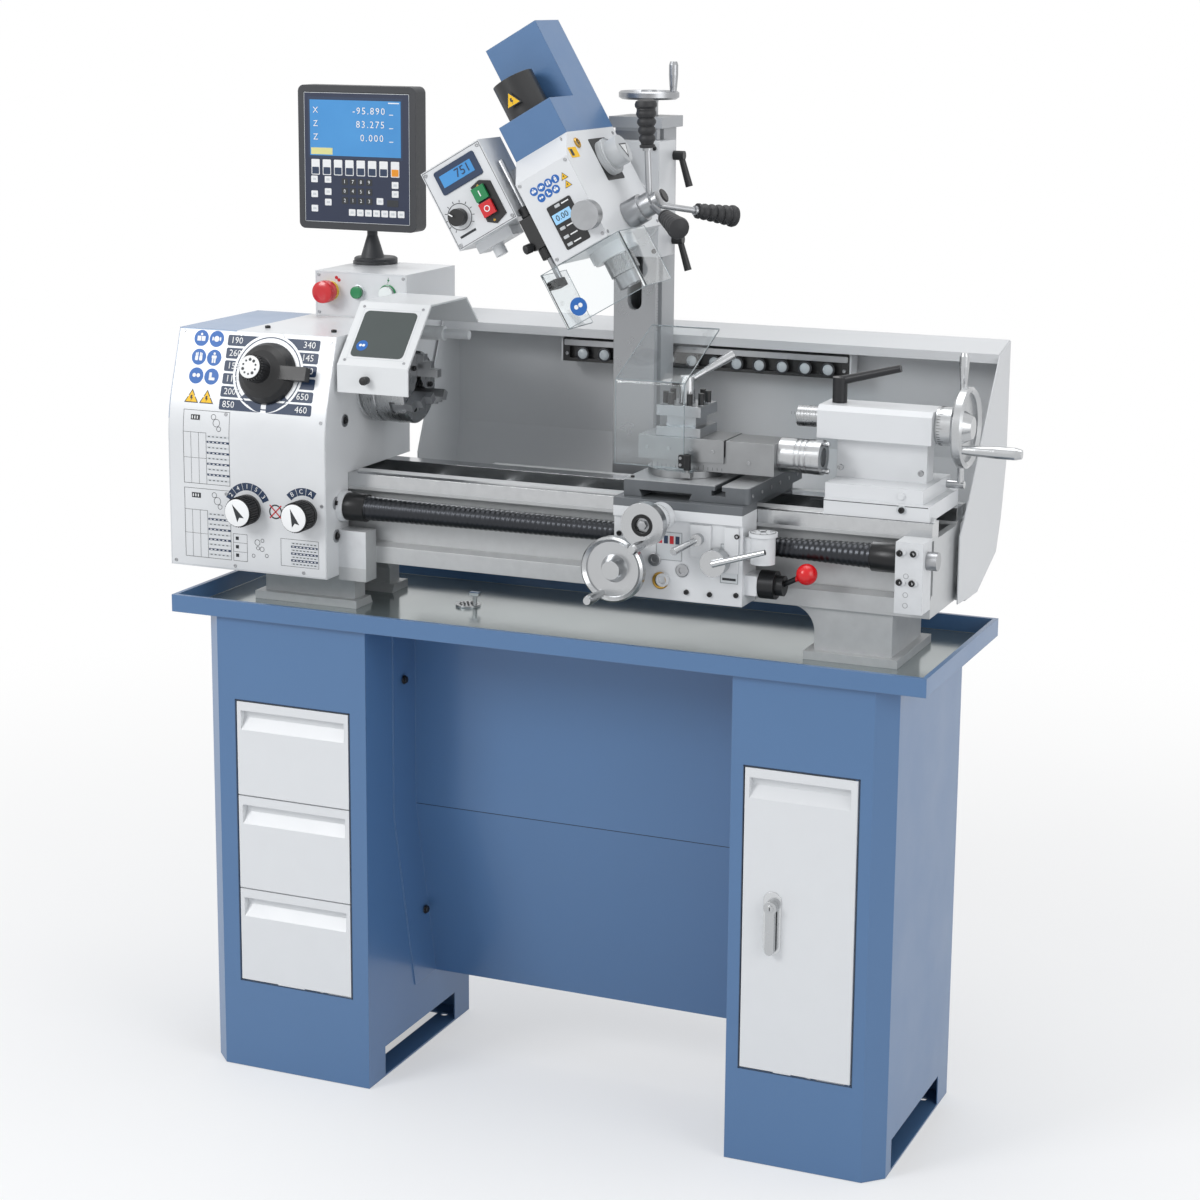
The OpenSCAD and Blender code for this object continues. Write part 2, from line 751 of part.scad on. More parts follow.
module bed() {
  rib_n = 9;
  foot_f = axis_y - foot_d / 2;
  foot_b = axis_y + foot_d / 2;
  lf_x = bed_x0 + web_t / 2;
  rf_x = bed_x1 - web_t * 4 - foot_l_right;
  arch_r = foot_d * 0.24;
  color([0.66, 0.68, 0.69]) {
    rail(bed_f, 1);
    rail(bed_b, -1);
    for (i = [0 : rib_n]) {
      x = bed_x0 + i * (bed_l - web_t) / rib_n;
      slab(x, x + web_t, bed_f + way_w * 0.4, bed_b - way_w * 0.4, bed_z0, bed_z1 - way_h);
    }
    along_x(head_x1 + web_t, bed_x1) outline([[vee_y - vee_h, bed_z1],
      [vee_y, bed_z1 + vee_h], [vee_y + vee_h, bed_z1]]);
    slab(col_x0 - foot_l, bed_x1, bed_b, bed_b + web_t * 1.5, bed_z1 - way_h * 0.7,
      bed_z1 - gap);
  }
  color([0.58, 0.60, 0.61]) {
    difference() {
      union() {
        slab(lf_x, lf_x + foot_l, foot_f, foot_b, tray_z, tray_z + foot_t);
        slab(lf_x + foot_t, lf_x + foot_l - foot_t * 0.7, foot_f + foot_t, foot_b - foot_t,
          tray_z, bed_z0);
      }
      slab(lf_x - over, lf_x + foot_l + over, axis_y - arch_r, axis_y + arch_r,
        tray_z + foot_t, tray_z + bed_under * 0.5);
      bar_x(lf_x - over, lf_x + foot_l + over, axis_y, tray_z + bed_under * 0.5 - arch_r * 0.3,
        arch_r);
    }
    slab(rf_x, rf_x + foot_l_right, foot_f, foot_b, tray_z, tray_z + foot_t);
    slab(rf_x + foot_t, rf_x + foot_l_right - foot_t, foot_f + foot_t, foot_b - foot_t,
      tray_z, bed_z0);
    difference() {
      slab(rf_x - foot_t * 2, rf_x + foot_t, foot_f + foot_t, foot_b - foot_t,
        bed_z0 - foot_t * 3, bed_z0);
      bar_y(foot_f, foot_b, rf_x - foot_t * 2, bed_z0 - foot_t * 3, foot_t * 3);
    }
  }
  brackets();
}

// White brackets on the bed's front: the left stop block and the lead screw's right bearing
module brackets() {
  rb_w = 45;
  rb_f = lead_y - lead_r * 2.3;
  bolt_r = 5;
  color(pale) {
    slab(head_x1, head_x1 + rb_w * 1.18, rb_f + bolt_r * 2, bed_f, bed_z0 - way_h,
      bed_z0 + low_h * 1.65);
    difference() {
      slab(bed_x1 - rb_w, bed_x1, rb_f, bed_f, bed_z0 + low_h * 0.45, bed_z1 - way_h * 0.8);
      bar_x(bed_x1 - rb_w - over, bed_x1 + over, lead_y, lead_z, lead_r + run);
    }
  }
  for (x = [-0.72, -0.28]) for (z = [0.62, 0.26]) color(dark)
    bar_y(rb_f - bolt_r * 0.4, rb_f, bed_x1 + rb_w * x, bed_z1 - way_h * 0.8 - rb_w * 2.2
      + rb_w * 3 * z, bolt_r);
}

// Front outline of headstock and gear cover, moved out by a distance
function front_line(out) = concat([[hf - out, hz0]],
  [for (a = [0 : head_lean / 6 : head_lean])
    [hf + head_bend_r * (1 - cos(a)) - out, hbend_z + head_bend_r * sin(a)]],
  [[hcurve_y + (hz1 - hcurve_z) * tan(head_lean) - out, hz1]]);

module head_profile() {
  outline(concat(front_line(0), [[hb, hz1], [hb, bed_z1], [bed_f - gap, bed_z1],
    [bed_f - gap, hz0]]));
}

module headstock() {
  lx = gear_x0 + plate_t;
  color(pale) difference() {
    union() {
      along_x(head_x0, head_x1) head_profile();
      bar_x(head_x1 - over, head_x1 + web_t, lead_y, lead_z, lead_r * 2.4);
      bar_x(head_x1 - over, hood_x1 - hood_t * 2, hood_pin_y, hood_pin_z, hood_pin_r);
      bar_x(head_x1 - over, head_x1 + hood_t, axis_y, axis_z, chuck_r * 0.9);
    }
    slab(head_x0 - over, head_x1 - wall_t * 2, axis_y - head_back + wall_t * 3, hb - wall_t,
      bed_z1 + wall_t, hz1 - wall_t);
    bar_x(head_x0 - over, head_x1 + web_t, axis_y, axis_z, spindle_r + run);
    bar_x(head_x1 - wall_t * 2, head_x1 + web_t * 2, lead_y, lead_z, lead_r + run);
    translate([speed_x, speed_y, speed_z]) rotate([90 - head_lean, 0, 0])
      cylinder(h = 4 * wall_t, r = knob_shaft_r + run, center = true);
    for (x = [knob_a_x, knob_b_x])
      bar_y(hf - over, hf + wall_t * 2, x, knob_z, knob_shaft_r + run);
  }
  // The change-gear cover is a shell
  color([0.42, 0.50, 0.60]) difference() {
    along_x(gear_x0, head_x0) head_profile();
    slab(gear_x0 + hood_t, head_x0 + over, hf + wall_t, bed_f - wall_t, hz0 + hood_t,
      hbend_z);
    slab(gear_x0 + hood_t, head_x0 + over, hcurve_y + wall_t * 3, hb - hood_t,
      bed_z1 + hood_t, hz1 - hood_t);
  }
  // The front plate follows the curve of both
  color(pale) difference() {
    along_x(gear_x0, head_x1) outline(concat(front_line(plate_t),
      [for (i = [len(front_line(0)) - 1 : -1 : 0]) front_line(0)[i]]));
    translate([speed_x, speed_y, speed_z]) rotate([90 - head_lean, 0, 0])
      cylinder(h = 4 * wall_t, r = knob_shaft_r + over, center = true);
    for (x = [knob_a_x, knob_b_x])
      bar_y(hf - plate_t - over, hf + over, x, knob_z, knob_shaft_r + over);
  }
}

// The speed knob: a dome on the leaning front, a hub and a stub lever
module speed_knob() {
  translate([speed_x, speed_y, speed_z]) rotate([90 - head_lean, 0, 0]) color(dark) {
    translate([0, 0, plate_t + gap]) rotate_extrude() outline([[0, 0], [speed_r, 0],
      [speed_r * 0.97, speed_r * 0.15], [speed_r * 0.85, speed_r * 0.36],
      [speed_r * 0.66, speed_r * 0.5], [speed_r * 0.45, speed_r * 0.58],
      [speed_r * 0.42, speed_r * 0.6], [speed_r * 0.42, speed_r * 0.9],
      [speed_r * 0.36, speed_r * 1.18], [0, speed_r * 1.18]]);
    translate([speed_r * 0.6, -speed_r * 0.22, speed_r * 0.22])
      cube([speed_r, speed_r * 0.44, speed_r * 0.3]);
    translate([0, 0, -wall_t * 1.5]) cylinder(h = wall_t * 2, r = knob_shaft_r);
  }
}

// A feed knob: a knurled barrel with a flat face
module feed_knob(x) {
  y1 = hf - plate_t - gap;
  ribs = 20;
  color(dark) difference() {
    union() {
      bar_y(y1 - feed_len * 0.18, y1, x, knob_z, feed_r);
      bar_y(y1 - feed_len, y1, x, knob_z, feed_r * 0.93);
      bar_y(y1 - over, hf + wall_t, x, knob_z, knob_shaft_r);
    }
    for (i = [0 : ribs - 1]) translate([x, y1 - feed_len * 0.2, knob_z])
      rotate([90, i * 360 / ribs, 0]) translate([feed_r * 0.97, 0, 0])
        cylinder(h = feed_len * 0.7, r = feed_r * 0.07);
  }
}

module feed_knob_left() { feed_knob(knob_a_x); }
module feed_knob_right() { feed_knob(knob_b_x); }

// Spindle, back plate and three-jaw chuck body, with slots for the jaws and key sockets
module chuck() {
  key = 9;
  color(steel) translate([0, axis_y, axis_z]) difference() {
    rotate([30, 0, 0]) difference() {
      union() {
        bar_x(head_x0 - wall_t * 3, chuck_x0 + over, 0, 0, spindle_r);
        bar_x(head_x1 + hood_t + gap, chuck_x0 + over, 0, 0, chuck_r * 0.86);
        translate([chuck_x0, 0, 0]) rotate([0, 90, 0]) rotate_extrude()
          outline([[0, 0], [chuck_r * 0.97, 0], [chuck_r, chuck_l * 0.04],
            [chuck_r, chuck_l * 0.3], [chuck_r * 0.985, chuck_l * 0.32],
            [chuck_r * 0.985, chuck_l * 0.35], [chuck_r, chuck_l * 0.37],
            [chuck_r, chuck_l * 0.95], [chuck_r * 0.95, chuck_l], [0, chuck_l]]);
      }
      bar_x(head_x0 - wall_t * 4, chuck_x1 + over, 0, 0, spindle_bore_r);
      bar_x(chuck_x1 - jaw_slot - over, chuck_x1 + over, 0, 0, jaw_w);
    }
    for (a = [0 : 120 : 240]) rotate([a, 0, 0]) {
      slab(chuck_x1 - jaw_slot, chuck_x1 + over, -jaw_w / 2 - gap, jaw_w / 2 + gap, 0,
        chuck_r + over);
      slab(chuck_x1 - jaw_slot, chuck_x1 - jaw_slot * 0.6, -jaw_w * 0.8 - gap,
        jaw_w * 0.8 + gap, 0, chuck_r + over);
      rotate([60, 0, 0]) slab(chuck_x1 - jaw_slot - key, chuck_x1 - jaw_slot, -key / 2,
        key / 2, chuck_r * 0.7, chuck_r + over);
    }
  }
}

// One stepped jaw with its T-shaped root
module jaw(a) {
  x0 = chuck_x1 - jaw_slot + gap;
  color([0.55, 0.56, 0.58]) translate([0, axis_y, axis_z]) rotate([a, 0, 0]) {
    slab(x0, x0 + jaw_slot * 0.36, -jaw_w * 0.8, jaw_w * 0.8, jaw_in_r, chuck_r * 0.9);
    slab(x0, chuck_x1 + jaw_out * 0.33, -jaw_w / 2, jaw_w / 2, jaw_in_r, chuck_r * 0.93);
    slab(x0, chuck_x1 + jaw_out * 0.66, -jaw_w / 2, jaw_w / 2, jaw_in_r, chuck_r * 0.74);
    slab(x0, chuck_x1 + jaw_out, -jaw_w / 2, jaw_w / 2, jaw_in_r, chuck_r * 0.54);
  }
}

module chuck_jaw_a() { jaw(0); }
module chuck_jaw_b() { jaw(120); }
module chuck_jaw_c() { jaw(240); }

// The hinged chuck guard
module chuck_guard() {
  top_y = axis_y - 50;
  back_y = axis_y + 88;
  low_y = axis_y + 135;
  low_z = hood_z1 - 47;
  slope = atan2(hood_z1 - hood_edge_z, top_y - hood_front);
  slope_l = norm([hood_z1 - hood_edge_z, top_y - hood_front]);
  win_x0 = hood_x0 + hood_l * 0.14;
  win_x1 = hood_x1 - hood_l * 0.14;
  t = hood_t;
  color(pale) difference() {
    union() {
      along_x(hood_x0, hood_x1) outline([[hood_front, hood_low_z],
        [hood_front, hood_edge_z], [top_y, hood_z1], [back_y, hood_z1],
        [low_y, low_z], [low_y - t, low_z - t], [back_y - t, hood_z1 - t],
        [top_y + t, hood_z1 - t], [hood_front + t, hood_edge_z - t],
        [hood_front + t, hood_low_z]]);
      along_x(hood_x0, hood_x0 + t) outline([[hood_front, hood_low_z],
        [hood_front, hood_edge_z], [top_y, hood_z1], [back_y, hood_z1],
        [low_y, low_z], [hood_pin_y + hood_pin_r * 2, hood_pin_z],
        [hood_pin_y, hood_pin_z - hood_pin_r * 2], [hood_pin_y - hood_pin_r * 6, hood_pin_z],
        [axis_y, axis_z + chuck_r]]);
      bar_x(hood_x0, hood_x0 + hood_l * 0.6, hood_pin_y, hood_pin_z, hood_pin_r * 1.6);
      slab(hood_x0 + hood_l * 0.3, hood_x0 + hood_l * 0.3 + t, hood_pin_y - hood_pin_r,
        hood_pin_y + hood_pin_r, hood_pin_z, hood_z1 - t * 10);
    }
    bar_x(hood_x0 - over, hood_x1 + over, hood_pin_y, hood_pin_z, hood_pin_r + run);
    translate([0, hood_front, hood_edge_z]) rotate([slope, 0, 0])
      slab(win_x0, win_x1, slope_l * 0.16, slope_l * 0.84, -t * 2, t);
  }
  color(dark) translate([0, hood_front, hood_edge_z]) rotate([slope, 0, 0])
    slab(win_x0, win_x1, slope_l * 0.16, slope_l * 0.84, -t, -t * 0.3);
  color(dark) bar_y(hood_front - t * 5, hood_front, hood_x0 + hood_l * 0.42,
    hood_low_z + (hood_edge_z - hood_low_z) * 0.5, t * 2.2);
}

// The electrical box behind the headstock
module control_box() {
  low = ebox_h * 2.4;
  color(pale) difference() {
    union() {
      slab(ebox_x0, ebox_x1, hb, ebox_y1, ebox_z1 - low, ebox_z1);
      slab(ebox_x0, ebox_x1, ebox_y0, hb, hz1, ebox_z1);
    }
    for (x = [estop_x, start_x, lamp_x])
      bar_y(ebox_y0 - over, ebox_y0 + stem_r * 3, x, button_z, stem_r + run);
  }
  color([0.95, 0.77, 0.10]) difference() {
    bar_y(ebox_y0 - stem_r, ebox_y0, estop_x, button_z, estop_r * 0.9);
    bar_y(ebox_y0 - stem_r * 2, ebox_y0 + over, estop_x, button_z, stem_r + over);
  }
  color(dark)
    bar_z(ebox_z1, ebox_z1 + stem_r, post_x, post_y, stem_r * 6);
}

// A push button: a cap and its stem
module button(x, r, cap, stand) {
  bar_y(ebox_y0 - stand - cap, ebox_y0 - stand, x, button_z, r);
  bar_y(ebox_y0 - stand - over, ebox_y0 + stem_r, x, button_z, stem_r);
}

module estop_button() {
  color([0.85, 0.10, 0.12]) {
    button(estop_x, estop_r, estop_r * 0.55, stem_r * 2);
    translate([estop_x, ebox_y0 - stem_r * 2 - estop_r * 0.55, button_z]) rotate([90, 0, 0])
      cylinder(h = estop_r * 0.25, r1 = estop_r, r2 = estop_r * 0.8);
  }
}

module start_button() { color([0.05, 0.50, 0.28]) button(start_x, start_r, stem_r * 0.8, stem_r); }
module power_lamp() { color([0.93, 0.97, 0.95]) button(lamp_x, lamp_r, stem_r * 0.8, stem_r); }

// The position readout on its conical neck, which turns on the box
module readout() {
  z0 = ebox_z1 + stem_r + gap;
  x1 = readout_x0 + readout_w;
  rim = readout_w * 0.05;
  color([0.22, 0.23, 0.25]) {
    translate([post_x, post_y, z0]) cylinder(h = neck_h, r1 = stem_r * 4, r2 = stem_r * 1.6);
    bar_z(z0 + neck_h - over, readout_z + readout_h * 0.25, post_x, post_y, stem_r * 1.6);
    slab(post_x - rim * 2, post_x + rim * 2, readout_y, post_y + stem_r,
      readout_z + readout_h * 0.12, readout_z + readout_h * 0.28);
    difference() {
      translate([0, readout_y, 0]) rotate([90, 0, 0]) translate([0, 0, 0])
        pillow(readout_x0, x1, readout_z, readout_z + readout_h, 0, readout_d, rim);
      slab(readout_x0 + rim, x1 - rim, readout_y - readout_d - over,
        readout_y - readout_d + over, readout_z + rim, readout_z + readout_h - rim);
    }
  }
}

// Lead screw with the knurled nut at its right end
module lead_screw() {
  color(steel) {
    bar_x(head_x1 + over, bed_x1 + over, lead_y, lead_z, lead_r);
    bar_x(bed_x1 + gap, bed_x1 + lead_r * 1.6, lead_y, lead_z, lead_r * 1.35);
  }
}

// A telescopic cover round the lead screw: rings of falling radius, seated on a sleeve
module screw_cover(x_big, x_small, r_big, r_small, sleeve) {
  n = 30;
  l = abs(x_small - x_big);
  step = (l - sleeve) / n;
  translate([x_big, lead_y, lead_z]) rotate([0, x_small > x_big ? 90 : -90, 0]) {
    difference() {
      union() {
        cylinder(h = sleeve, r = r_big * 1.15);
        for (i = [0 : n - 1]) translate([0, 0, sleeve + i * step - gap])
          cylinder(h = step + gap, r = r_big - (r_big - r_small) * i / n);
        translate([0, 0, l - lead_r * 0.5]) cylinder(h = lead_r * 0.5, r = r_small * 1.3);
      }
      translate([0, 0, -over]) cylinder(h = l + 2 * over, r = lead_r + over);
    }
  }
}

module screw_cover_left() {
  color(dark)
    screw_cover(head_x1 + web_t + gap, car_x0 - gap, lead_r * 1.9, lead_r * 1.45, lead_r * 3.5);
}

module screw_cover_right() {
  color(dark) screw_cover(bed_x1 - lead_r * 4.1 - gap, car_x1 + lead_r * 1.2,
    lead_r * 1.9, lead_r * 1.45, lead_r * 4);
}

// Saddle and apron: the plate on the ways, the dovetail, the housing in front
module saddle() {
  back = bed_b + web_t;
  up_z = saddle_top - apron_h * 0.19;
  dial_x = car_x1 + lead_r * 2.9;
  dial_y = lead_y - lead_r * 3.4;
  sw_low = apron_z0 + apron_h * 0.11;
  color([0.30, 0.31, 0.32]) difference() {
    slab(car_x0 + web_t / 2, car_x1 - web_t / 2, bed_f - gap * 5, back, saddle_z, saddle_top);
    along_x(car_x0, car_x1) outline([[vee_y - vee_h - gap, saddle_z - over],
      [vee_y - vee_h - gap, saddle_z], [vee_y, saddle_z + vee_h + gap],
      [vee_y + vee_h + gap, saddle_z], [vee_y + vee_h + gap, saddle_z - over]]);
  }
  color([0.30, 0.31, 0.32]) along_y(bed_f - web_t, back) outline([
    [sw_x - tail_dove / 2 + dove_h / 2, saddle_top], [sw_x - tail_dove / 2, saddle_top + dove_h],
    [sw_x + tail_dove / 2, saddle_top + dove_h], [sw_x + tail_dove / 2 - dove_h / 2, saddle_top]]);
  color(pale) difference() {
    union() {
      slab(car_x0, car_x1, apron_f, apron_f + apron_t, apron_z0, saddle_z);
      slab(car_x0, car_x1, apron_f - web_t * 0.4, bed_f - gap * 5, up_z, saddle_top);
      slab(car_x1 - over, car_x1 + lead_r * 1.9, lead_y - lead_r * 3, lead_y + lead_r,
        sw_low, sw_low + apron_h * 0.2);
      bar_y(apron_f - crank_house_l, apron_f, crank_x, crank_z, crank_house_r);
      slab(car_x0 + car_l * 0.6, car_x0 + car_l * 0.76, apron_f - web_t * 0.3, apron_f,
        apron_z0 + apron_h * 0.46, up_z - web_t * 0.3);
      slab(car_x0 + car_l * 0.86, car_x0 + car_l * 0.97, apron_f - web_t * 0.2, apron_f,
        apron_z0 + apron_h * 0.33, up_z - web_t * 0.3);
      bar_z(lead_z - lead_r * 1.9, lead_z + lead_r * 2.1, dial_x, dial_y, lead_r * 1.8);
      bar_z(lead_z + lead_r * 2.1, lead_z + lead_r * 2.7, dial_x, dial_y, lead_r * 2.1);
      slab(car_x1 - over, dial_x, dial_y, dial_y + lead_r, lead_z - lead_r,
        lead_z + lead_r * 1.6);
    }
    bar_x(car_x0 - over, car_x1 + over, lead_y, lead_z, lead_r + gap * 6);
    bar_y(apron_f - over, apron_f + shaft_r * 3, wheel_x, wheel_z, shaft_r + run);
    bar_y(apron_f - crank_house_l - over, apron_f + shaft_r * 2, crank_x, crank_z,
      shaft_r * 0.8 + run);
  }
  color([0.72, 0.58, 0.28]) difference() {
    bar_y(apron_f - web_t * 0.5, apron_f, car_x0 + car_l * 0.39, apron_z0 + apron_h * 0.2,
      lead_r);
    bar_y(apron_f - web_t, apron_f - web_t * 0.2, car_x0 + car_l * 0.39,
      apron_z0 + apron_h * 0.2, lead_r * 0.6);
  }
}

// A dished handwheel along +Z and its turned handle
module handwheel(r, depth, hub_r, handle_l, handle_a) {
  rim = r * 0.16;
  rotate_extrude() outline([[0, 0], [hub_r * 1.3, 0], [hub_r * 1.3, depth * 0.35],
    [r - rim, depth * 0.5], [r - rim, depth * 0.3], [r - rim * 0.6, depth * 0.2],
    [r, depth * 0.4], [r, depth * 0.85], [r - rim * 0.4, depth], [r - rim, depth * 0.8],
    [r - rim, depth * 0.62], [hub_r * 1.5, depth * 0.5], [hub_r, depth * 1.1],
    [0, depth * 1.1]]);
  rotate([0, 0, handle_a]) translate([r - rim * 0.9, 0, depth * 0.6])
    handle(handle_l, rim * 0.95);
}

module apron_wheel() {
  hub = shaft_r * 1.9;
  stand = apron_t * 0.45;
  color(steel) {
    bar_y(apron_f - stand, apron_f - gap, wheel_x, wheel_z, hub * 1.5);
    bar_y(apron_f - stand - over, apron_f + shaft_r * 2, wheel_x, wheel_z, shaft_r);
    translate([wheel_x, apron_f - stand, wheel_z]) rotate([90, 0, 0])
      handwheel(apron_wheel_r, apron_t * 0.44, hub, apron_t, -115);
  }
}

// The cross slide: a table with a T-slot, over the saddle's dovetail
module cross_slide() {
  tw = 12;
  color([0.33, 0.34, 0.35]) difference() {
    union() {
      slab(table_x0, table_x1 - web_t, table_y0, table_y1, table_z0, table_z1);
      slab(table_x0, table_x1, table_y0 + web_t, table_y1, table_z0, table_z1);
      bar_z(table_z0, table_z1, table_x1 - web_t, table_y0 + web_t, web_t);
    }
    along_y(table_y0 - over, table_y1 + over) outline([
      [sw_x - tail_dove / 2 + dove_h / 2 - gap * 2, table_z0 - over],
      [sw_x - tail_dove / 2 - gap * 2, table_z0 + dove_h + gap],
      [sw_x + tail_dove / 2 + gap * 2, table_z0 + dove_h + gap],
      [sw_x + tail_dove / 2 - dove_h / 2 + gap * 2, table_z0 - over]]);
    slab(slot_x - tw / 2, slot_x + tw / 2, table_y0 - over, table_y1 + over,
      table_z1 - tw * 1.4, table_z1 + over);
    slab(slot_x - tw, slot_x + tw, table_y0 - over, table_y1 + over, table_z1 - tw * 1.4,
      table_z1 - tw * 0.7);
    bar_z(table_z1 - tw, table_z1 + over, sw_x, sw_y, shaft_r + run);
  }
}

module cross_crank() {
  y1 = apron_f - crank_house_l - gap;
  t = web_t * 1.5;
  color(steel) {
    difference() {
      bar_y(y1 - t, y1, crank_x, crank_z, cross_disc_r);
      bar_y(y1 - t - over, y1 - t * 0.6, crank_x, crank_z, cross_disc_r * 0.5);
    }
    bar_y(y1 - over, apron_f, crank_x, crank_z, shaft_r * 0.8);
    translate([crank_x, y1 - t, crank_z]) rotate([90, 0, 0]) rotate([0, 0, -75])
      translate([cross_disc_r * 0.78, 0, 0]) handle(cross_disc_r * 1.7, shaft_r);
  }
}

// The swivel and the lower half of the compound slide, with the tool guard's pin
module compound_base() {
  color(steel) {
    difference() {
      union() {
        bar_z(table_z1 + gap, sw_z1, sw_x, sw_y, swivel_r);
        slab(comp_x0, comp_x1, sw_y - comp_half, sw_y + comp_half, sw_z1, comp_z1);
        slab(comp_step, comp_x1, sw_y - comp_half, sw_y + comp_half, sw_z1,
          top_z1 - over);
      }
      bar_x(comp_step, comp_x1 + over, sw_y, crank2_z, shaft_r * 0.8 + run);
    }
    bar_z(table_z1 - shaft_r, table_z1 + over, sw_x, sw_y, shaft_r);
    slab(guard_hinge_x - shaft_r, guard_hinge_x + shaft_r, guard_y - guard_pin_r * 2,
      sw_y - swivel_r * 0.6, sw_z1 - shaft_r, sw_z1);
    bar_z(sw_z1, sw_z1 + guard_pin_r * 9, guard_hinge_x, guard_y + clear_t / 2, guard_pin_r);
  }
}

module top_slide() {
  lip = 5;
  color(steel) {
    slab(top_x0, comp_step - gap * 5, sw_y - comp_half - lip, sw_y + comp_half + lip, top_z0,
      top_z1);
    for (s = [-1, 1]) slab(top_x0, comp_step - gap * 5,
      sw_y + (s < 0 ? -comp_half - lip : comp_half + gap),
      sw_y + (s < 0 ? -comp_half - gap : comp_half + lip), top_z0 - lip * 2, top_z1);
    bar_z(top_z1, post_z1 + lip * 2, sw_x, sw_y, shaft_r);
  }
}

module top_slide_crank() {
  l = crank2_r * 2.5;
  x0 = comp_x1 + gap;
  hr = crank2_r * 0.78;
  color(steel) {
    difference() {
      union() {
        bar_x(x0, x0 + l * 0.82, sw_y, crank2_z, crank2_r);
        bar_x(x0 + l * 0.82, x0 + l, sw_y, crank2_z, crank2_r * 1.02);
      }
      bar_x(x0 + l * 0.84, x0 + l + over, sw_y, crank2_z, crank2_r * 0.55);
      for (i = [1 : 3]) translate([x0 + l * (0.3 + i * 0.12), sw_y, crank2_z])
        rotate([0, 90, 0]) rotate_extrude() translate([crank2_r, 0, 0])
          circle(r = crank2_r * 0.06);
    }
    bar_x(comp_step + comp_half / 2, x0 + l * 0.5, sw_y, crank2_z, shaft_r * 0.8);
    for (s = [-1, 1]) translate([x0 + l - over, sw_y, crank2_z + s * hr]) rotate([0, 90, 0])
      handle(crank2_r * 0.4, shaft_r * 0.56);
  }
}

// The four-way tool post and its eight clamping screws
module tool_post() {
  h = post_s / 2;
  screw_r = post_s * 0.065;
  color([0.62, 0.63, 0.64]) difference() {
    union() {
      slab(sw_x - h, sw_x + h, sw_y - h, sw_y + h, post_z0, post_z0 + post_h * 0.3);
      slab(sw_x - h * 0.66, sw_x + h * 0.66, sw_y - h * 0.66, sw_y + h * 0.66, post_z0,
        post_z1);
      slab(sw_x - h, sw_x + h, sw_y - h, sw_y + h, post_z0 + post_h * 0.66, post_z1);
    }
    bar_z(post_z0 - over, post_z1 + over, sw_x, sw_y, shaft_r + run);
  }
  for (a = [0 : 90 : 270]) for (s = [-1, 1]) color(dark)
    translate([sw_x, sw_y, 0]) rotate([0, 0, a])
      bar_z(post_z1, post_z1 + screw_r * 4, h * 0.8, s * h * 0.42, screw_r);
}

module tool_post_lever() {
  z0 = post_z1 + gap;
  r = shaft_r * 1.7;
  tip = [sw_x + 60, sw_y + 50, lever_z + 38];
  root = [sw_x, sw_y, lever_z - r * 0.3];
  mid = root + (tip - root) * 0.4;
  color([0.84, 0.85, 0.86]) {
    difference() {
      translate([sw_x, sw_y, z0]) cylinder(h = lever_z - z0 + r * 0.3, r1 = r, r2 = r * 0.85);
      bar_z(z0 - over, z0 + shaft_r * 2, sw_x, sw_y, shaft_r + run);
    }
    bar(root, mid, r * 0.4);
    bar(mid, tip, r * 0.42, r * 0.62);
  }
}

// The clear guard in front of the tool post: an upright pane, a sloping pane and a knuckle
module tool_guard() {
  top = sw_z1 + 143;
  back_y = guard_y + 156;
  back_z = top + 72;
  t = clear_t;
  low = sw_z1 + 6;
  color([0.85, 0.92, 0.95, 0.4]) {
    along_x(guard_x0, guard_x1) outline([[guard_y, low], [guard_y, top], [back_y, back_z],
      [back_y, back_z - t], [guard_y + t, top - t], [guard_y + t, low]]);
    difference() {
      union() {
        bar_z(sw_z1 + gap, sw_z1 + guard_pin_r * 9, guard_hinge_x, guard_y + t / 2,
          guard_pin_r * 2);
        slab(guard_x1 - over, guard_hinge_x, guard_y, guard_y + t, low,
          sw_z1 + guard_pin_r * 9);
      }
      bar_z(sw_z1 - over, sw_z1 + guard_pin_r * 10, guard_hinge_x, guard_y + t / 2,
        guard_pin_r + run);
    }
  }
}

module feed_lever() {
  x = car_x0 + car_l * 0.665;
  z = lead_z + lead_r;
  y = apron_f - web_t * 0.3 - gap;
  color(steel) {
    bar_y(y - web_t, y, x, z, shaft_r * 1.2);
    bar([x, y - web_t / 2, z], [x - web_t * 1.8, y - web_t * 4.6, z - web_t], shaft_r * 0.55,
      shaft_r * 0.8);
  }
}

module half_nut_lever() {
  x = car_x0 + car_l * 0.815;
  z = lead_z - lead_r * 2;
  y = apron_f - web_t * 0.3 - gap;
  color(steel) {
    bar_y(y - web_t * 2, y, x, z, shaft_r * 2.7);
    bar([x, y - web_t * 2, z], [x + web_t * 7.4, y - web_t * 2.2, z + web_t * 2.3],
      shaft_r * 0.75, shaft_r * 0.55);
  }
}

// The spindle switch: a black hub on the apron's right side and a lever with a red ball
module switch_lever() {
  x = car_x1 + lead_r * 1.9 + gap;
  y = lead_y - lead_r;
  z = apron_z0 + apron_h * 0.21;
  ball = [x + lead_r * 7.4, y - lead_r * 1.5, z + lead_r * 2.4];
  color(dark) {
    bar_x(x, x + lead_r * 2.4, y, z, lead_r * 2.1);
    bar_x(x + lead_r * 2.4, x + lead_r * 3.6, y, z, lead_r * 1.5);
    bar([x + lead_r * 3, y, z], ball, lead_r * 0.4);
  }
  color([0.86, 0.07, 0.10]) translate(ball) sphere(r = lead_r * 1.55);
}

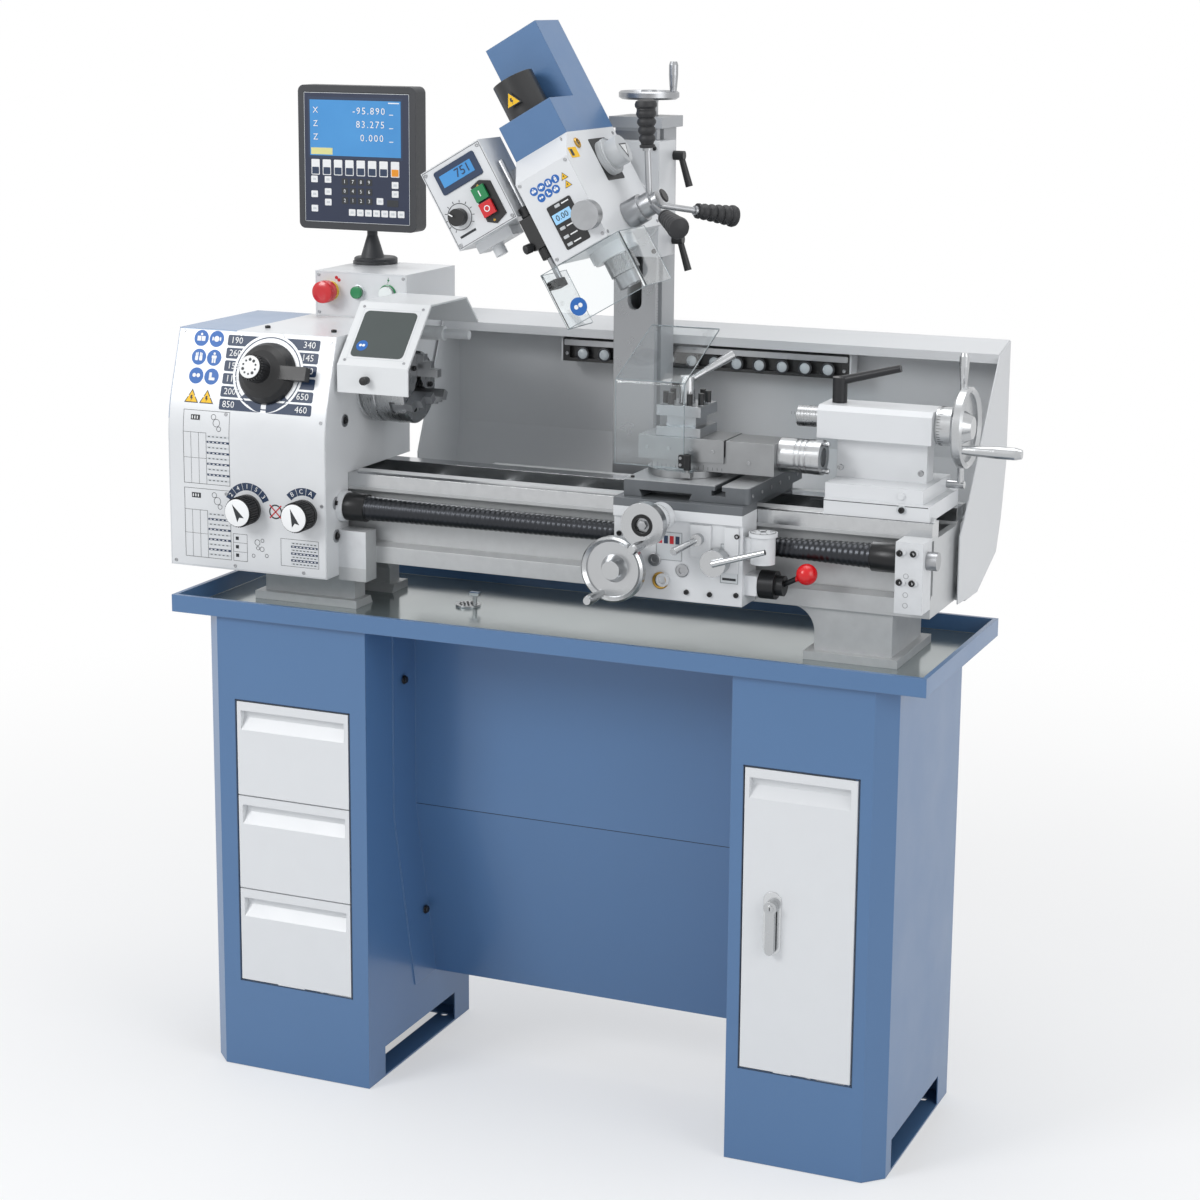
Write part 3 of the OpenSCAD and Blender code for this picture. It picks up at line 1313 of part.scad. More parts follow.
module tailstock() {
  c = tail_w * 0.1;
  color(pale) difference() {
    union() {
      along_x(tail_left, tail_x1) outline([[tail_f, tail_z0], [tail_f, tail_z1 - c],
        [tail_f + c, tail_z1], [tail_bk - c, tail_z1], [tail_bk, tail_z1 - c],
        [tail_bk, tail_z0]]);
      slab(tbase_x0, tail_x1 - web_t, axis_y - neck_w / 2, axis_y + neck_w / 2, tbase_z2,
        tail_z0);
      slab(tbase_x0, tail_x1, axis_y - bed_w * 0.43, axis_y + bed_w * 0.43, tbase_z1,
        tbase_z2);
      slab(tbase_x0, tbase_x1, bed_f + web_t * 0.6, bed_b - web_t * 0.6, tbase_z, tbase_z1);
    }
    along_x(tbase_x0 - over, tbase_x1 + over) outline([[vee_y - vee_h - gap, tbase_z - over],
      [vee_y - vee_h - gap, tbase_z], [vee_y, tbase_z + vee_h + gap],
      [vee_y + vee_h + gap, tbase_z], [vee_y + vee_h + gap, tbase_z - over]]);
    bar_x(tail_left - over, tail_x1 + over, axis_y, axis_z, quill_r + run);
    bar_x(tail_x1 - shaft_r * 3, tbase_x1 + over, tclamp_y, tclamp_z, shaft_r * 0.8 + run);
    bar_z(tail_z1 - shaft_r, tail_z1 + over, tlock_x, axis_y, shaft_r * 0.8 + run);
  }
  color(dark) bar_y(axis_y - bed_w * 0.43 - over * 3, axis_y - bed_w * 0.43,
    tail_x1 - web_t * 3, tbase_z1 + web_t, web_t * 0.5);
}

module quill() {
  color(steel) difference() {
    bar_x(tail_left - quill_out, tail_x1 - web_t * 2, axis_y, axis_z, quill_r);
    translate([tail_left - quill_out - over, axis_y, axis_z]) rotate([0, 90, 0])
      cylinder(h = quill_r * 4, r1 = quill_r * 0.55, r2 = quill_r * 0.42);
  }
}

module tailstock_wheel() {
  x = tail_x1 + gap;
  dial = 28;
  color(steel) {
    bar_x(x, x + dial, axis_y, axis_z, tail_wheel_r * 0.48);
    bar_x(tail_x1 - web_t, x + dial, axis_y, axis_z, shaft_r);
    translate([x + dial, axis_y, axis_z]) rotate([0, 90, 0])
      handwheel(tail_wheel_r, dial * 0.9, shaft_r * 2.2, tail_wheel_r * 1.6, -60);
  }
}

module quill_lock_lever() {
  z0 = tail_z1 + gap;
  r = shaft_r * 1.5;
  color(dark) {
    bar_z(z0, z0 + r * 3.4, tlock_x, axis_y, r);
    bar_z(tail_z1 - shaft_r * 0.8, z0 + over, tlock_x, axis_y, shaft_r * 0.8);
    bar([tlock_x, axis_y, z0 + r * 2.9], [tlock_x + r * 8.4, axis_y, z0 + r * 5.1], r * 0.62,
      r * 0.5);
  }
}

module tail_clamp_lever() {
  x = tbase_x1 + web_t * 0.5;
  color([0.60, 0.61, 0.62]) {
    bar_x(tail_x1 - shaft_r * 2, x + shaft_r * 1.3, tclamp_y, tclamp_z, shaft_r * 0.8);
    bar([x + shaft_r * 0.4, tclamp_y, tclamp_z],
      [x + shaft_r * 0.4, tclamp_y, axis_z + tail_wheel_r], shaft_r * 0.7);
    translate([x + shaft_r * 0.4, tclamp_y, axis_z + tail_wheel_r * 0.85])
      handle(tail_wheel_r * 0.85, shaft_r);
  }
}

// The splash guard's bent sheet, seen from the end
function splash_line() = [[lip_y, lip_z - 15], [lip_y, lip_z], [splash_y, splash_top],
  [splash_y, bed_z1 + 32], [splash_y - 22, bed_z1 - 58], [splash_y - 47, bed_z0 + 39],
  [splash_y - 164, bed_z0 - 7], [bed_b + splash_t / 2, bed_z0 - 7],
  [bed_b + splash_t / 2, bed_z0 + 20]];

// Height of the lip's underside, less a slight overlap
function lip_under(y) = lip_z + (y - lip_y) * (splash_top - lip_z) / lip_d - splash_t * 0.4;

// A line of points made thick, with mitred corners
function way(p, i) = (p[i + 1] - p[i]) / norm(p[i + 1] - p[i]);
function mitre(p, i, s) = let(n = len(p) - 2, a = way(p, max(i - 1, 0)),
  b = way(p, min(i, n)), m = (a + b) / norm(a + b)) p[i] + [-m[1], m[0]] * s / (m * a);

module thick_line(p, t) {
  n = len(p) - 1;
  outline(concat([for (i = [0 : n]) mitre(p, i, t / 2)], [for (i = [n : -1 : 0]) mitre(p, i, -t / 2)]));
}

module splash_guard() {
  p = splash_line();
  x0 = splash_x0;
  x1 = splash_x1;
  color([0.85, 0.86, 0.86]) {
    along_x(x0, x1) thick_line(p, splash_t);
    along_x(x1, x1 + splash_t) outline([p[1], p[2], p[3], p[4], p[5], p[6],
      [bed_b - 53, bed_z0 - 2], [bed_b - 53, bed_z1 - 43], [bed_b - 6, bed_z1 + 5]]);
    along_x(x0 - splash_t, x0) outline([p[1], p[2], p[3], p[4], p[5], p[6],
      [hb + 8, bed_z0], [hb + 8, bed_z1]]);
  }
  led_lamp();
}

// The lamp under the lip: a channel with a row of round lights and its two end hangers
module led_lamp() {
  x1 = lamp_x0 + lamp_l;
  r = lamp_h * 0.3;
  color(dark) difference() {
    slab(lamp_x0, x1, lamp_y, lamp_y + lamp_d, lamp_z, lamp_z + lamp_h);
    slab(lamp_x0 + r, x1 - r, lamp_y - over, lamp_y + lamp_d * 0.3, lamp_z + lamp_h * 0.15,
      lamp_z + lamp_h * 0.85);
  }
  color(steel) for (i = [0 : led_n - 1])
    bar_y(lamp_y + lamp_d * 0.1, lamp_y + lamp_d * 0.3,
      lamp_x0 + (i + 0.9) * lamp_l / (led_n + 0.8), lamp_z + lamp_h * 0.5, r * 0.75);
  color(dark) for (x = [lamp_x0 - splash_t * 2, x1])
    along_x(x, x + splash_t * 2) outline([[lamp_y, lamp_z], [lamp_y, lip_under(lamp_y)],
      [lamp_y + lamp_d, lip_under(lamp_y + lamp_d)], [lamp_y + lamp_d, lamp_z]]);
}

// The column: a hollow casting with a slotted front and a cap
module column() {
  x0 = col_x0;
  x1 = col_x1;
  g = col_w * 0.13;
  color([0.60, 0.61, 0.62]) {
    difference() {
      slab(x0, x1, col_y, col_b, col_low, col_top);
      slab(col_x - elev_r * 2.4, col_x + elev_r * 2.4, col_y + g * 1.6, col_b - g,
        col_low - over, col_top + over);
      slab(x0 - over, x0 + g, col_y + g * 1.2, col_y + g * 3, col_low - over,
        col_top + over);
      slab(x1 - g, x1 + over, col_y + g * 1.2, col_y + g * 3, col_low - over,
        col_top + over);
      slab(col_x - slot_w / 2, col_x + slot_w / 2, col_y - over, col_y + g * 2,
        slot_z + slot_w / 2, col_top - slot_w);
      bar_y(col_y - over, col_y + g * 2, col_x, slot_z + slot_w / 2, slot_w / 2);
    }
    slab(x0 - g, x1 + g, bed_b, col_y, bed_z0 + low_h * 1.2, bed_z1 - way_h);
  }
  color(steel) difference() {
    slab(x0 - g, x1 + g, col_y - g / 2, col_b + g / 2, col_top, col_top + cap_h);
    bar_z(col_top - over, col_top + cap_h + over, col_x, screw_y, elev_r + run);
  }
}

// The elevating screw and the handwheel on top of the column
module column_screw() {
  z = col_top + cap_h;
  color([0.68, 0.69, 0.70]) {
    bar_z(slot_z - slot_w, wheel_top, col_x, screw_y, elev_r);
    bar_z(z + gap, z + gap + elev_r * 3, col_x, screw_y, elev_r * 2);
    translate([col_x, screw_y, z + elev_r * 3])
      handwheel(col_wheel_r, elev_r * 2.2, elev_r * 1.6, col_wheel_r * 1.1, 0);
  }
}

// The carriage that climbs the column, with its jaws and the screw's nut
module head_carriage() {
  g = col_w * 0.13;
  color(pale) difference() {
    union() {
      slab(hc_x0, hc_x1, hc_y, col_y - gap, hc_z0, hc_z1);
      for (s = [0, 1]) {
        x = s == 0 ? hc_x0 : col_x1 + gap;
        slab(x, x + hc_t - gap, hc_y, col_y + g * 4, hc_z0, hc_z1);
        slab(s == 0 ? x : x - g * 0.7, s == 0 ? x + hc_t + g * 0.7 - gap : x + hc_t - gap,
          col_y + g * 1.2 + gap, col_y + g * 3 - gap, hc_z0, hc_z1);
      }
      slab(col_x - slot_w / 2 + gap * 2, col_x + slot_w / 2 - gap * 2, hc_y,
        screw_y + elev_r * 1.6, pivot_z - slot_w, pivot_z + slot_w);
    }
    bar_z(pivot_z - slot_w - over, pivot_z + slot_w + over, col_x, screw_y, elev_r + run);
    bar_y(hc_y - over, hc_y + shaft_r * 2, col_x, pivot_z, shaft_r * 1.5 + run);
    for (z = [hc_z0 + slot_w, hc_z1 - slot_w])
      bar_x(hc_x1 - hc_t * 0.7, hc_x1 + over, col_y + g * 3.2, z, shaft_r * 0.6 + run);
  }
}

// A clamping lever on the carriage's right side
module lock_lever(z) {
  y = col_y + col_w * 0.13 * 3.2;
  x = hc_x1 + gap;
  r = shaft_r;
  color(dark) {
    bar_x(hc_x1 - hc_t * 0.6, x + over, y, z, r * 0.6);
    bar_x(x, x + r * 2.4, y, z, r);
    bar([x + r * 1.6, y, z], [x + r * 3.6, y, z - r * 6.5], r * 0.65, r * 0.8);
  }
}

module lock_lever_top() { lock_lever(hc_z1 - slot_w); }
module lock_lever_bottom() { lock_lever(hc_z0 + slot_w); }

// The mill head: casting, stepped belt cover, motor and the clamp of the guard's rod
module mill_head() {
  in_head() {
    color(pale) difference() {
      union() {
        along_x(-mh, mh) outline([[-mill_front, -mill_down], [-mill_front, fold_w],
          [cover_y, mill_up], [mill_back, mill_up], [mill_back, -mill_down]]);
        bar_y(mill_back - over, hc_y - gap, 0, 0, mill_w * 0.57);
        bar_y(mill_back, hc_y + shaft_r * 1.5, 0, 0, shaft_r * 1.5);
        bar_z(-mill_down - mq_r * 0.9, -mill_down + over, 0, axis_y, mq_r * 1.55);
        slab(-mh * 0.7, -mq_r, axis_y - mq_r * 0.8, axis_y + mq_r * 0.8,
          -mill_down - mq_r * 0.8, -mill_down + over);
      }
      bar_z(-mill_down - mq_r, fold_w, 0, axis_y, mq_r + run);
      bar_x(mh - shaft_r * 2.6, mh + over, cap_y, cap_z, shaft_r + run);
      bar_x(mh - shaft_r * 2, mh + over, sel_y, sel_z, shaft_r * 0.7 + run);
      bar_y(-mill_front - over, -mill_front + shaft_r * 2, mh * 0.77, -3 * gap,
        shaft_r * 0.7 + run);
    }
    color([0.36, 0.50, 0.68]) along_x(-mh, mh) outline([[cover_y, mill_up],
      [cover_y, mill_up + cover_low_h], [upper_y, mill_up + cover_low_h],
      [upper_y, mill_up + cover_h], [mill_back, mill_up + cover_h], [mill_back, mill_up]]);
    color(dark) bar_z(mill_up + cover_low_h, mill_up + cover_low_h + motor_r * 1.9,
      -mh + motor_r, upper_y - motor_r - over, motor_r);
    color(dark) difference() {
      slab(rod_x - rod_r * 1.6, -mh, rod_y - rod_r * 1.6, rod_y + rod_r * 1.6,
        -rod_r * 0.5, rod_r * 6);
      bar_z(-rod_r - over, rod_r * 7, rod_x, rod_y, rod_r + run);
    }
  }
}

// The mill's control box on its bracket, with sockets for its knob and two buttons
module mill_control_box() {
  bx = mbox_x0 + mbox_w * 0.69;
  bz = mbox_z0 + mbox_h * 0.35;
  in_head() {
    color(pale) difference() {
      slab(mbox_x0, mbox_x1, mbox_y, mbox_y + mbox_d, mbox_z0, mbox_z1);
      bar_y(mbox_y - over, mbox_y + stem_r * 2, mbox_x0 + mbox_w * 0.24,
        mbox_z0 + mbox_h * 0.34, stem_r * 0.7 + run);
      for (s = [-1, 1]) slab(bx - stem_r * 1.3 - gap, bx + stem_r * 1.3 + gap, mbox_y - over,
        mbox_y + stem_r * 2, bz + s * stem_r * 2.3 - stem_r * 1.3 - gap,
        bz + s * stem_r * 2.3 + stem_r * 1.3 + gap);
    }
    color([0.85, 0.86, 0.87]) slab(mbox_x1, -mh, mbox_y + mbox_d * 0.75, mbox_y + mbox_d * 1.2,
      mbox_z0 + mbox_h * 0.2, mill_up);
    color([0.55, 0.56, 0.58]) {
      slab(mbox_x0 + mbox_w * 0.15, mbox_x1 - mbox_w * 0.27, mbox_y + mbox_d * 0.3,
        mbox_y + mbox_d * 0.8, mbox_z0 - mbox_h * 0.12, mbox_z0);
      bar_z(mbox_z0 - mbox_h * 0.24, mbox_z0 - mbox_h * 0.12, mbox_x0 + mbox_w * 0.37,
        mbox_y + mbox_d * 0.55, stem_r * 1.8);
    }
  }
}

module mill_speed_knob() {
  r = stem_r * 2.4;
  in_head() color(dark) {
    x = mbox_x0 + mbox_w * 0.24;
    z = mbox_z0 + mbox_h * 0.34;
    bar_y(mbox_y - r * 1.1, mbox_y - gap, x, z, r);
    bar_y(mbox_y - over, mbox_y + stem_r * 1.8, x, z, stem_r * 0.7);
  }
}

// A square push button of the mill's switch
module mill_button(s) {
  bx = mbox_x0 + mbox_w * 0.69;
  bz = mbox_z0 + mbox_h * 0.35 + s * stem_r * 2.3;
  in_head() {
    slab(bx - stem_r * 2, bx + stem_r * 2, mbox_y - stem_r * 1.6, mbox_y - stem_r * 0.8,
      bz - stem_r * 2, bz + stem_r * 2);
    slab(bx - stem_r * 1.3, bx + stem_r * 1.3, mbox_y - stem_r, mbox_y + stem_r,
      bz - stem_r * 1.3, bz + stem_r * 1.3);
  }
}

module mill_start_button() { color([0.10, 0.55, 0.25]) mill_button(1); }
module mill_stop_button() { color([0.80, 0.12, 0.12]) mill_button(-1); }

module mill_quill() {
  in_head() color(steel) difference() {
    bar_z(-mill_down - mq_r * 2.1, mill_up * 0.25, 0, axis_y, mq_r);
    bar_z(-mill_down - mq_r * 2.1 - over, mill_up * 0.25 + over, 0, axis_y, ms_r + run);
  }
}

module mill_spindle() {
  low = -mill_down - mq_r * 2.1;
  in_head() color([0.62, 0.63, 0.65]) {
    difference() {
      union() {
        bar_z(low - over, mill_up * 0.2, 0, axis_y, ms_r);
        bar_z(low - ms_r * 1.5, low - gap, 0, axis_y, ms_r * 1.4);
      }
      translate([0, axis_y, low - ms_r * 1.5 - over])
        cylinder(h = ms_r * 4, r1 = ms_r * 0.7, r2 = ms_r * 0.45);
    }
  }
}

// One feed lever: a bright rod and a ribbed grip that flares at its end
module feed_grip(l, r) {
  bumps = 4;
  g0 = l * 0.52;
  gl = l - g0;
  cylinder(h = l * 0.6, r = r * 0.45);
  translate([0, 0, g0]) rotate_extrude() outline(concat([[0, 0], [r * 0.7, 0]],
    [for (i = [0 : bumps - 1]) for (k = [0, 1, 2])
      [r * (0.72 + 0.14 * i + (k == 1 ? 0.22 : 0)), gl * (0.06 + (i + k * 0.45) / bumps * 0.9)]],
    [[r * 1.3, gl * 0.98], [0, gl]]));
}

module capstan() {
  r = shaft_r * 3;
  in_head() color(steel) {
    bar_x(mh - shaft_r * 2.4, mh + over, cap_y, cap_z, shaft_r);
    bar_x(mh + gap, cap_x - r * 0.5, cap_y, cap_z, r);
    bar_x(cap_x - r * 0.6, cap_x + r * 0.35, cap_y, cap_z, r * 0.82);
    bar_x(cap_x + r * 0.3, cap_x + r * 0.8, cap_y, cap_z, r * 0.55);
  }
  in_head() color([0.20, 0.21, 0.22]) for (i = [0 : lever_n - 1])
    translate([cap_x, cap_y, cap_z]) rotate([i * 360 / lever_n, 0, 0])
      rotate([0, lever_slant, 0]) feed_grip(lever_len, shaft_r * 1.45);
}

module gear_selector() {
  r = shaft_r * 3.1;
  in_head() color(steel) {
    bar_x(mh - shaft_r * 1.8, mh + over, sel_y, sel_z, shaft_r * 0.7);
    bar_x(mh + gap, mh + r * 0.5, sel_y, sel_z, r * 1.25);
    bar_x(mh + r * 0.4, mh + r * 1.5, sel_y, sel_z, r);
  }
}

module fine_knob() {
  r = shaft_r * 3;
  in_head() color(steel) {
    bar_y(-mill_front - r * 0.8, -mill_front - gap, mh * 0.77, -3 * gap, r);
    bar_y(-mill_front - over, -mill_front + shaft_r * 1.8, mh * 0.77, -3 * gap, shaft_r * 0.7);
  }
}

// The clear guard under the head: three panes on a rod that turns in its clamp
module mill_guard() {
  t = clear_t;
  side_y = axis_y - 2;
  in_head() {
    color(steel) {
      bar_z(mg_z1 - rod_r * 2.6, mill_up + 17, rod_x, rod_y, rod_r);
      slab(mg_x0 + t, rod_x + rod_r, mg_y + t, rod_y + rod_r, mg_z1 - rod_r * 3.6,
        mg_z1 - rod_r * 2);
    }
    color([0.85, 0.92, 0.95, 0.4]) {
      slab(mg_x0, mg_x1, mg_y, mg_y + t, mg_z0, mg_z1);
      slab(mg_x0, mg_x0 + t, mg_y, side_y - t * 3, mg_z0, mg_z1);
      slab(mg_x1 - t, mg_x1, mg_y, side_y, mg_z0, mg_z1);
    }
  }
}

cabinets();
drawer_top();
drawer_middle();
drawer_bottom();
cabinet_door();
door_latch();
chip_tray();
bed();
headstock();
speed_knob();
feed_knob_left();
feed_knob_right();
chuck();
chuck_jaw_a();
chuck_jaw_b();
chuck_jaw_c();
chuck_guard();
control_box();
estop_button();
start_button();
power_lamp();
readout();
lead_screw();
screw_cover_left();
screw_cover_right();
saddle();
apron_wheel();
cross_slide();
cross_crank();
compound_base();
top_slide();
top_slide_crank();
tool_post();
tool_post_lever();
tool_guard();
feed_lever();
half_nut_lever();
switch_lever();
tailstock();
quill();
tailstock_wheel();
quill_lock_lever();
tail_clamp_lever();
splash_guard();
column();
column_screw();
head_carriage();
lock_lever_top();
lock_lever_bottom();
mill_head();
mill_control_box();
mill_speed_knob();
mill_start_button();
mill_stop_button();
mill_quill();
mill_spindle();
capstan();
gear_selector();
fine_knob();
mill_guard();
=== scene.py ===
"""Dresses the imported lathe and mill: finishes, plates, dials, screws, screens, covers and light."""
import logging
import math
from collections.abc import Callable, Iterable, Sequence
from dataclasses import dataclass, replace
from enum import Enum
from itertools import product

import bpy
from mathutils import Matrix, Vector


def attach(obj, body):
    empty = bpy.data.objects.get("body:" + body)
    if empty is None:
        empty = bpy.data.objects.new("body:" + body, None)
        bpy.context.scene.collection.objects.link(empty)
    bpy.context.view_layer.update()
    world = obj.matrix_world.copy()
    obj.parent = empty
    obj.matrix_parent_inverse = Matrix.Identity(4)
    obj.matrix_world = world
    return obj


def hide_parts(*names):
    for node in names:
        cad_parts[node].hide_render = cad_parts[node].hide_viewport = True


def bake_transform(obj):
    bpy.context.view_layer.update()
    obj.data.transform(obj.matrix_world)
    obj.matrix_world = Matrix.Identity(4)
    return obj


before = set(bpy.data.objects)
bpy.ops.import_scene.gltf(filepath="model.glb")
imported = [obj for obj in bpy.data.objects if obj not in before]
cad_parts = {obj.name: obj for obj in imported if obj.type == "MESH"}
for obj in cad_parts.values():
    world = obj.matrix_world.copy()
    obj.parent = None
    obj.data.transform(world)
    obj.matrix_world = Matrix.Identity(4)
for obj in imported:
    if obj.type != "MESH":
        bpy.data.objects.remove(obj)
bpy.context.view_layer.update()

LOG = logging.getLogger("lathe")
MM = 0.001
BARE_EDGE = "c9cbcd"
SETTLED_DUST = "b9b5ac"
FINE_GRAIN = 9.0
EDGE_NOISE, EDGE_GAIN = 90.0, 5.0
DUST_NOISE, DUST_FALL = 14.0, 6.0
GLOSS_SWING = 0.16
BUMP_DEPTH = 0.0006
CLEAR_COAT_ROUGH = 0.12
ACRYLIC_IOR = 1.47
FIGURE_SCALE, FIGURE_LIFT = 1.4, 0.85
# Radius of the grey lines of painted reflection along clear panes' edges and folds.
REFLECTION_LINE_RADIUS = 0.7
Point = tuple[float, float, float]
Flat = tuple[float, float]
Place = Callable[[float, float, float], Vector]
Node = bpy.types.Node
Socket = bpy.types.NodeSocket
Tree = bpy.types.NodeTree


# Shader nodes

def node(tree: Tree, kind: str, inputs: dict | None = None, **settings: object) -> Node:
    """Adds a node, sets its properties and fills or links its inputs.

    Args:
        tree: The node tree that gets it.
        kind: The node's type name after "ShaderNode".
        inputs: Values or sockets by input name or number.
        settings: Properties of the node itself.

    Returns:
        The new node.
    """
    made = tree.nodes.new("ShaderNode" + kind)
    for key, value in settings.items():
        setattr(made, key, value)
    for key, value in (inputs or {}).items():
        if isinstance(value, Socket):
            tree.links.new(value, made.inputs[key])
        else:
            made.inputs[key].default_value = value
    return made


def math_node(tree: Tree, operation: str, a: object, b: object = 0.0) -> Socket:
    """Adds a Math node and returns its output."""
    return node(tree, "Math", {0: a, 1: b}, operation=operation).outputs[0]


def mix(tree: Tree, mask: object, a: object, b: object, kind: str = "RGBA") -> Socket:
    """Mixes two colours or numbers by a mask.

    Args:
        tree: The node tree.
        mask: Socket or number from 0 to 1.
        a: Value where the mask is 0.
        b: Value where the mask is 1.
        kind: RGBA or FLOAT.

    Returns:
        The mixed output.
    """
    first, out = (6, 2) if kind == "RGBA" else (2, 0)
    return node(tree, "Mix", {0: mask, first: a, first + 1: b}, data_type=kind).outputs[out]


def group(name: str, inputs: dict[str, tuple[str, object]], outputs: dict[str, str],
          fill: Callable[[Tree, object, object], None]) -> Tree:
    """Makes a shader node group.

    Args:
        name: The group's name.
        inputs: Socket type and value by input name.
        outputs: Socket type by output name.
        fill: Adds the nodes between the group's inputs and outputs.

    Returns:
        The group's node tree.
    """
    tree = bpy.data.node_groups.new(name, "ShaderNodeTree")
    for key, (kind, value) in inputs.items():
        socket = tree.interface.new_socket(name=key, in_out="INPUT", socket_type="NodeSocket" + kind)
        socket.default_value = value
    for key, kind in outputs.items():
        tree.interface.new_socket(name=key, in_out="OUTPUT", socket_type="NodeSocket" + kind)
    start = tree.nodes.new("NodeGroupInput").outputs
    end = tree.nodes.new("NodeGroupOutput").inputs
    fill(tree, start, end)
    return tree


def fill_grain(tree: Tree, start: object, end: object) -> None:
    """Fills the grain group: broad tone and fine height from stretched noise.

    Args:
        tree: The group's node tree.
        start: Outputs of the group's input node.
        end: Inputs of the group's output node.
    """
    place = node(tree, "TexCoord").outputs["Object"]
    spot = node(tree, "VectorMath", {0: place, 1: start["Stretch"]}, operation="MULTIPLY").outputs[0]
    broad = node(tree, "TexNoise", {"Vector": spot, "Scale": start["Scale"], "Detail": 3.0})
    fine_scale = math_node(tree, "MULTIPLY", start["Scale"], FINE_GRAIN)
    fine = node(tree, "TexNoise", {"Vector": spot, "Scale": fine_scale, "Detail": 2.0})
    tree.links.new(broad.outputs[0], end["Tone"])
    tree.links.new(fine.outputs[0], end["Height"])


def fill_edges(tree: Tree, start: object, end: object) -> None:
    """Fills the edge group: a rounded normal, and a broken mask along the edges.

    Args:
        tree: The group's node tree.
        start: Outputs of the group's input node.
        end: Inputs of the group's output node.
    """
    bevel = node(tree, "Bevel", {"Radius": start["Radius"]}, samples=4).outputs[0]
    plain = node(tree, "NewGeometry").outputs["Normal"]
    same = node(tree, "VectorMath", {0: bevel, 1: plain}, operation="DOT_PRODUCT").outputs["Value"]
    turned = math_node(tree, "SUBTRACT", 1.0, same)
    noise = node(tree, "TexNoise", {"Vector": node(tree, "TexCoord").outputs["Object"],
                                    "Scale": EDGE_NOISE, "Detail": 3.0}).outputs[0]
    worn = math_node(tree, "MULTIPLY", math_node(tree, "MULTIPLY", turned, EDGE_GAIN), noise)
    tree.links.new(bevel, end["Normal"])
    tree.links.new(node(tree, "Clamp", {0: worn}).outputs[0], end["Edge"])


def fill_dust(tree: Tree, start: object, end: object) -> None:
    """Fills the dust group: a mask on what faces up, broken by noise.

    Args:
        tree: The group's node tree.
        start: Outputs of the group's input node.
        end: Inputs of the group's output node.
    """
    up = node(tree, "SeparateXYZ", {0: node(tree, "NewGeometry").outputs["Normal"]}).outputs[2]
    noise = node(tree, "TexNoise", {"Vector": node(tree, "TexCoord").outputs["Object"],
                                    "Scale": DUST_NOISE, "Detail": 4.0}).outputs[0]
    faces = math_node(tree, "POWER", node(tree, "Clamp", {0: up}).outputs[0], DUST_FALL)
    mask = math_node(tree, "MULTIPLY", math_node(tree, "MULTIPLY", faces, noise), start["Amount"])
    tree.links.new(mask, end["Mask"])


def fill_zone(tree: Tree, start: object, end: object) -> None:
    """Fills the zone group: 1 inside a box, which may be turned about a point in the XZ plane.

    Args:
        tree: The group's node tree.
        start: Outputs of the group's input node.
        end: Inputs of the group's output node.
    """
    place = node(tree, "TexCoord").outputs["Object"]
    turned = node(tree, "VectorRotate", {"Vector": place, "Center": start["Pivot"],
                                         "Angle": start["Turn"]}, rotation_type="Y_AXIS").outputs[0]
    off = node(tree, "VectorMath", {0: turned, 1: start["Middle"]}, operation="SUBTRACT").outputs[0]
    size = node(tree, "VectorMath", {0: off}, operation="ABSOLUTE").outputs[0]
    past = node(tree, "VectorMath", {0: size, 1: start["Half"]}, operation="SUBTRACT").outputs[0]
    xyz = node(tree, "SeparateXYZ", {0: past}).outputs
    most = math_node(tree, "MAXIMUM", math_node(tree, "MAXIMUM", xyz[0], xyz[1]), xyz[2])
    tree.links.new(math_node(tree, "LESS_THAN", most, 0.0), end["Mask"])


def fill_ball(tree: Tree, start: object, end: object) -> None:
    """Fills the ball group: 1 farther than a radius from a point.

    Args:
        tree: The group's node tree.
        start: Outputs of the group's input node.
        end: Inputs of the group's output node.
    """
    place = node(tree, "TexCoord").outputs["Object"]
    far = node(tree, "VectorMath", {0: place, 1: start["Middle"]}, operation="DISTANCE")
    tree.links.new(math_node(tree, "GREATER_THAN", far.outputs["Value"], start["Radius"]), end["Mask"])


FLOAT, VECTOR = "Float", "Vector"
ZERO = (0.0, 0.0, 0.0)
GRAIN = group("surface_grain", {"Scale": (FLOAT, 20.0), "Stretch": (VECTOR, (1.0, 1.0, 1.0))},
              {"Tone": FLOAT, "Height": FLOAT}, fill_grain)
EDGES = group("edge_wear", {"Radius": (FLOAT, 0.001)}, {"Normal": VECTOR, "Edge": FLOAT}, fill_edges)
DUST = group("dust", {"Amount": (FLOAT, 0.1)}, {"Mask": FLOAT}, fill_dust)
ZONE = group("zone", {"Middle": (VECTOR, ZERO), "Half": (VECTOR, ZERO), "Pivot": (VECTOR, ZERO),
                      "Turn": (FLOAT, 0.0)}, {"Mask": FLOAT}, fill_zone)
BALL = group("ball_zone", {"Middle": (VECTOR, ZERO), "Radius": (FLOAT, 0.1)}, {"Mask": FLOAT}, fill_ball)


def placed(tree: Tree, made: Tree, inputs: dict | None = None) -> Node:
    """Places a node group in a material and sets its inputs.

    Args:
        tree: The material's node tree.
        made: The group.
        inputs: Values by input name.

    Returns:
        The group's node.
    """
    found = tree.nodes.new("ShaderNodeGroup")
    found.node_tree = made
    for key, value in (inputs or {}).items():
        found.inputs[key].default_value = value
    return found


def rgb(code: str) -> tuple[float, float, float, float]:
    """Turns a written colour such as 5f86b3 into linear values.

    Args:
        code: Six hexadecimal digits.

    Returns:
        Red, green, blue and alpha.
    """
    parts = [int(code[i:i + 2], 16) / 255 for i in (0, 2, 4)]
    low = [c / 12.92 if c <= 0.04045 else ((c + 0.055) / 1.055) ** 2.4 for c in parts]
    return (low[0], low[1], low[2], 1.0)


# Finishes

@dataclass(frozen=True)
class Coat:
    """What one opaque surface shows: its colour, gloss and metal share."""
    color: str
    rough: float = 0.4
    metal: float = 0.0


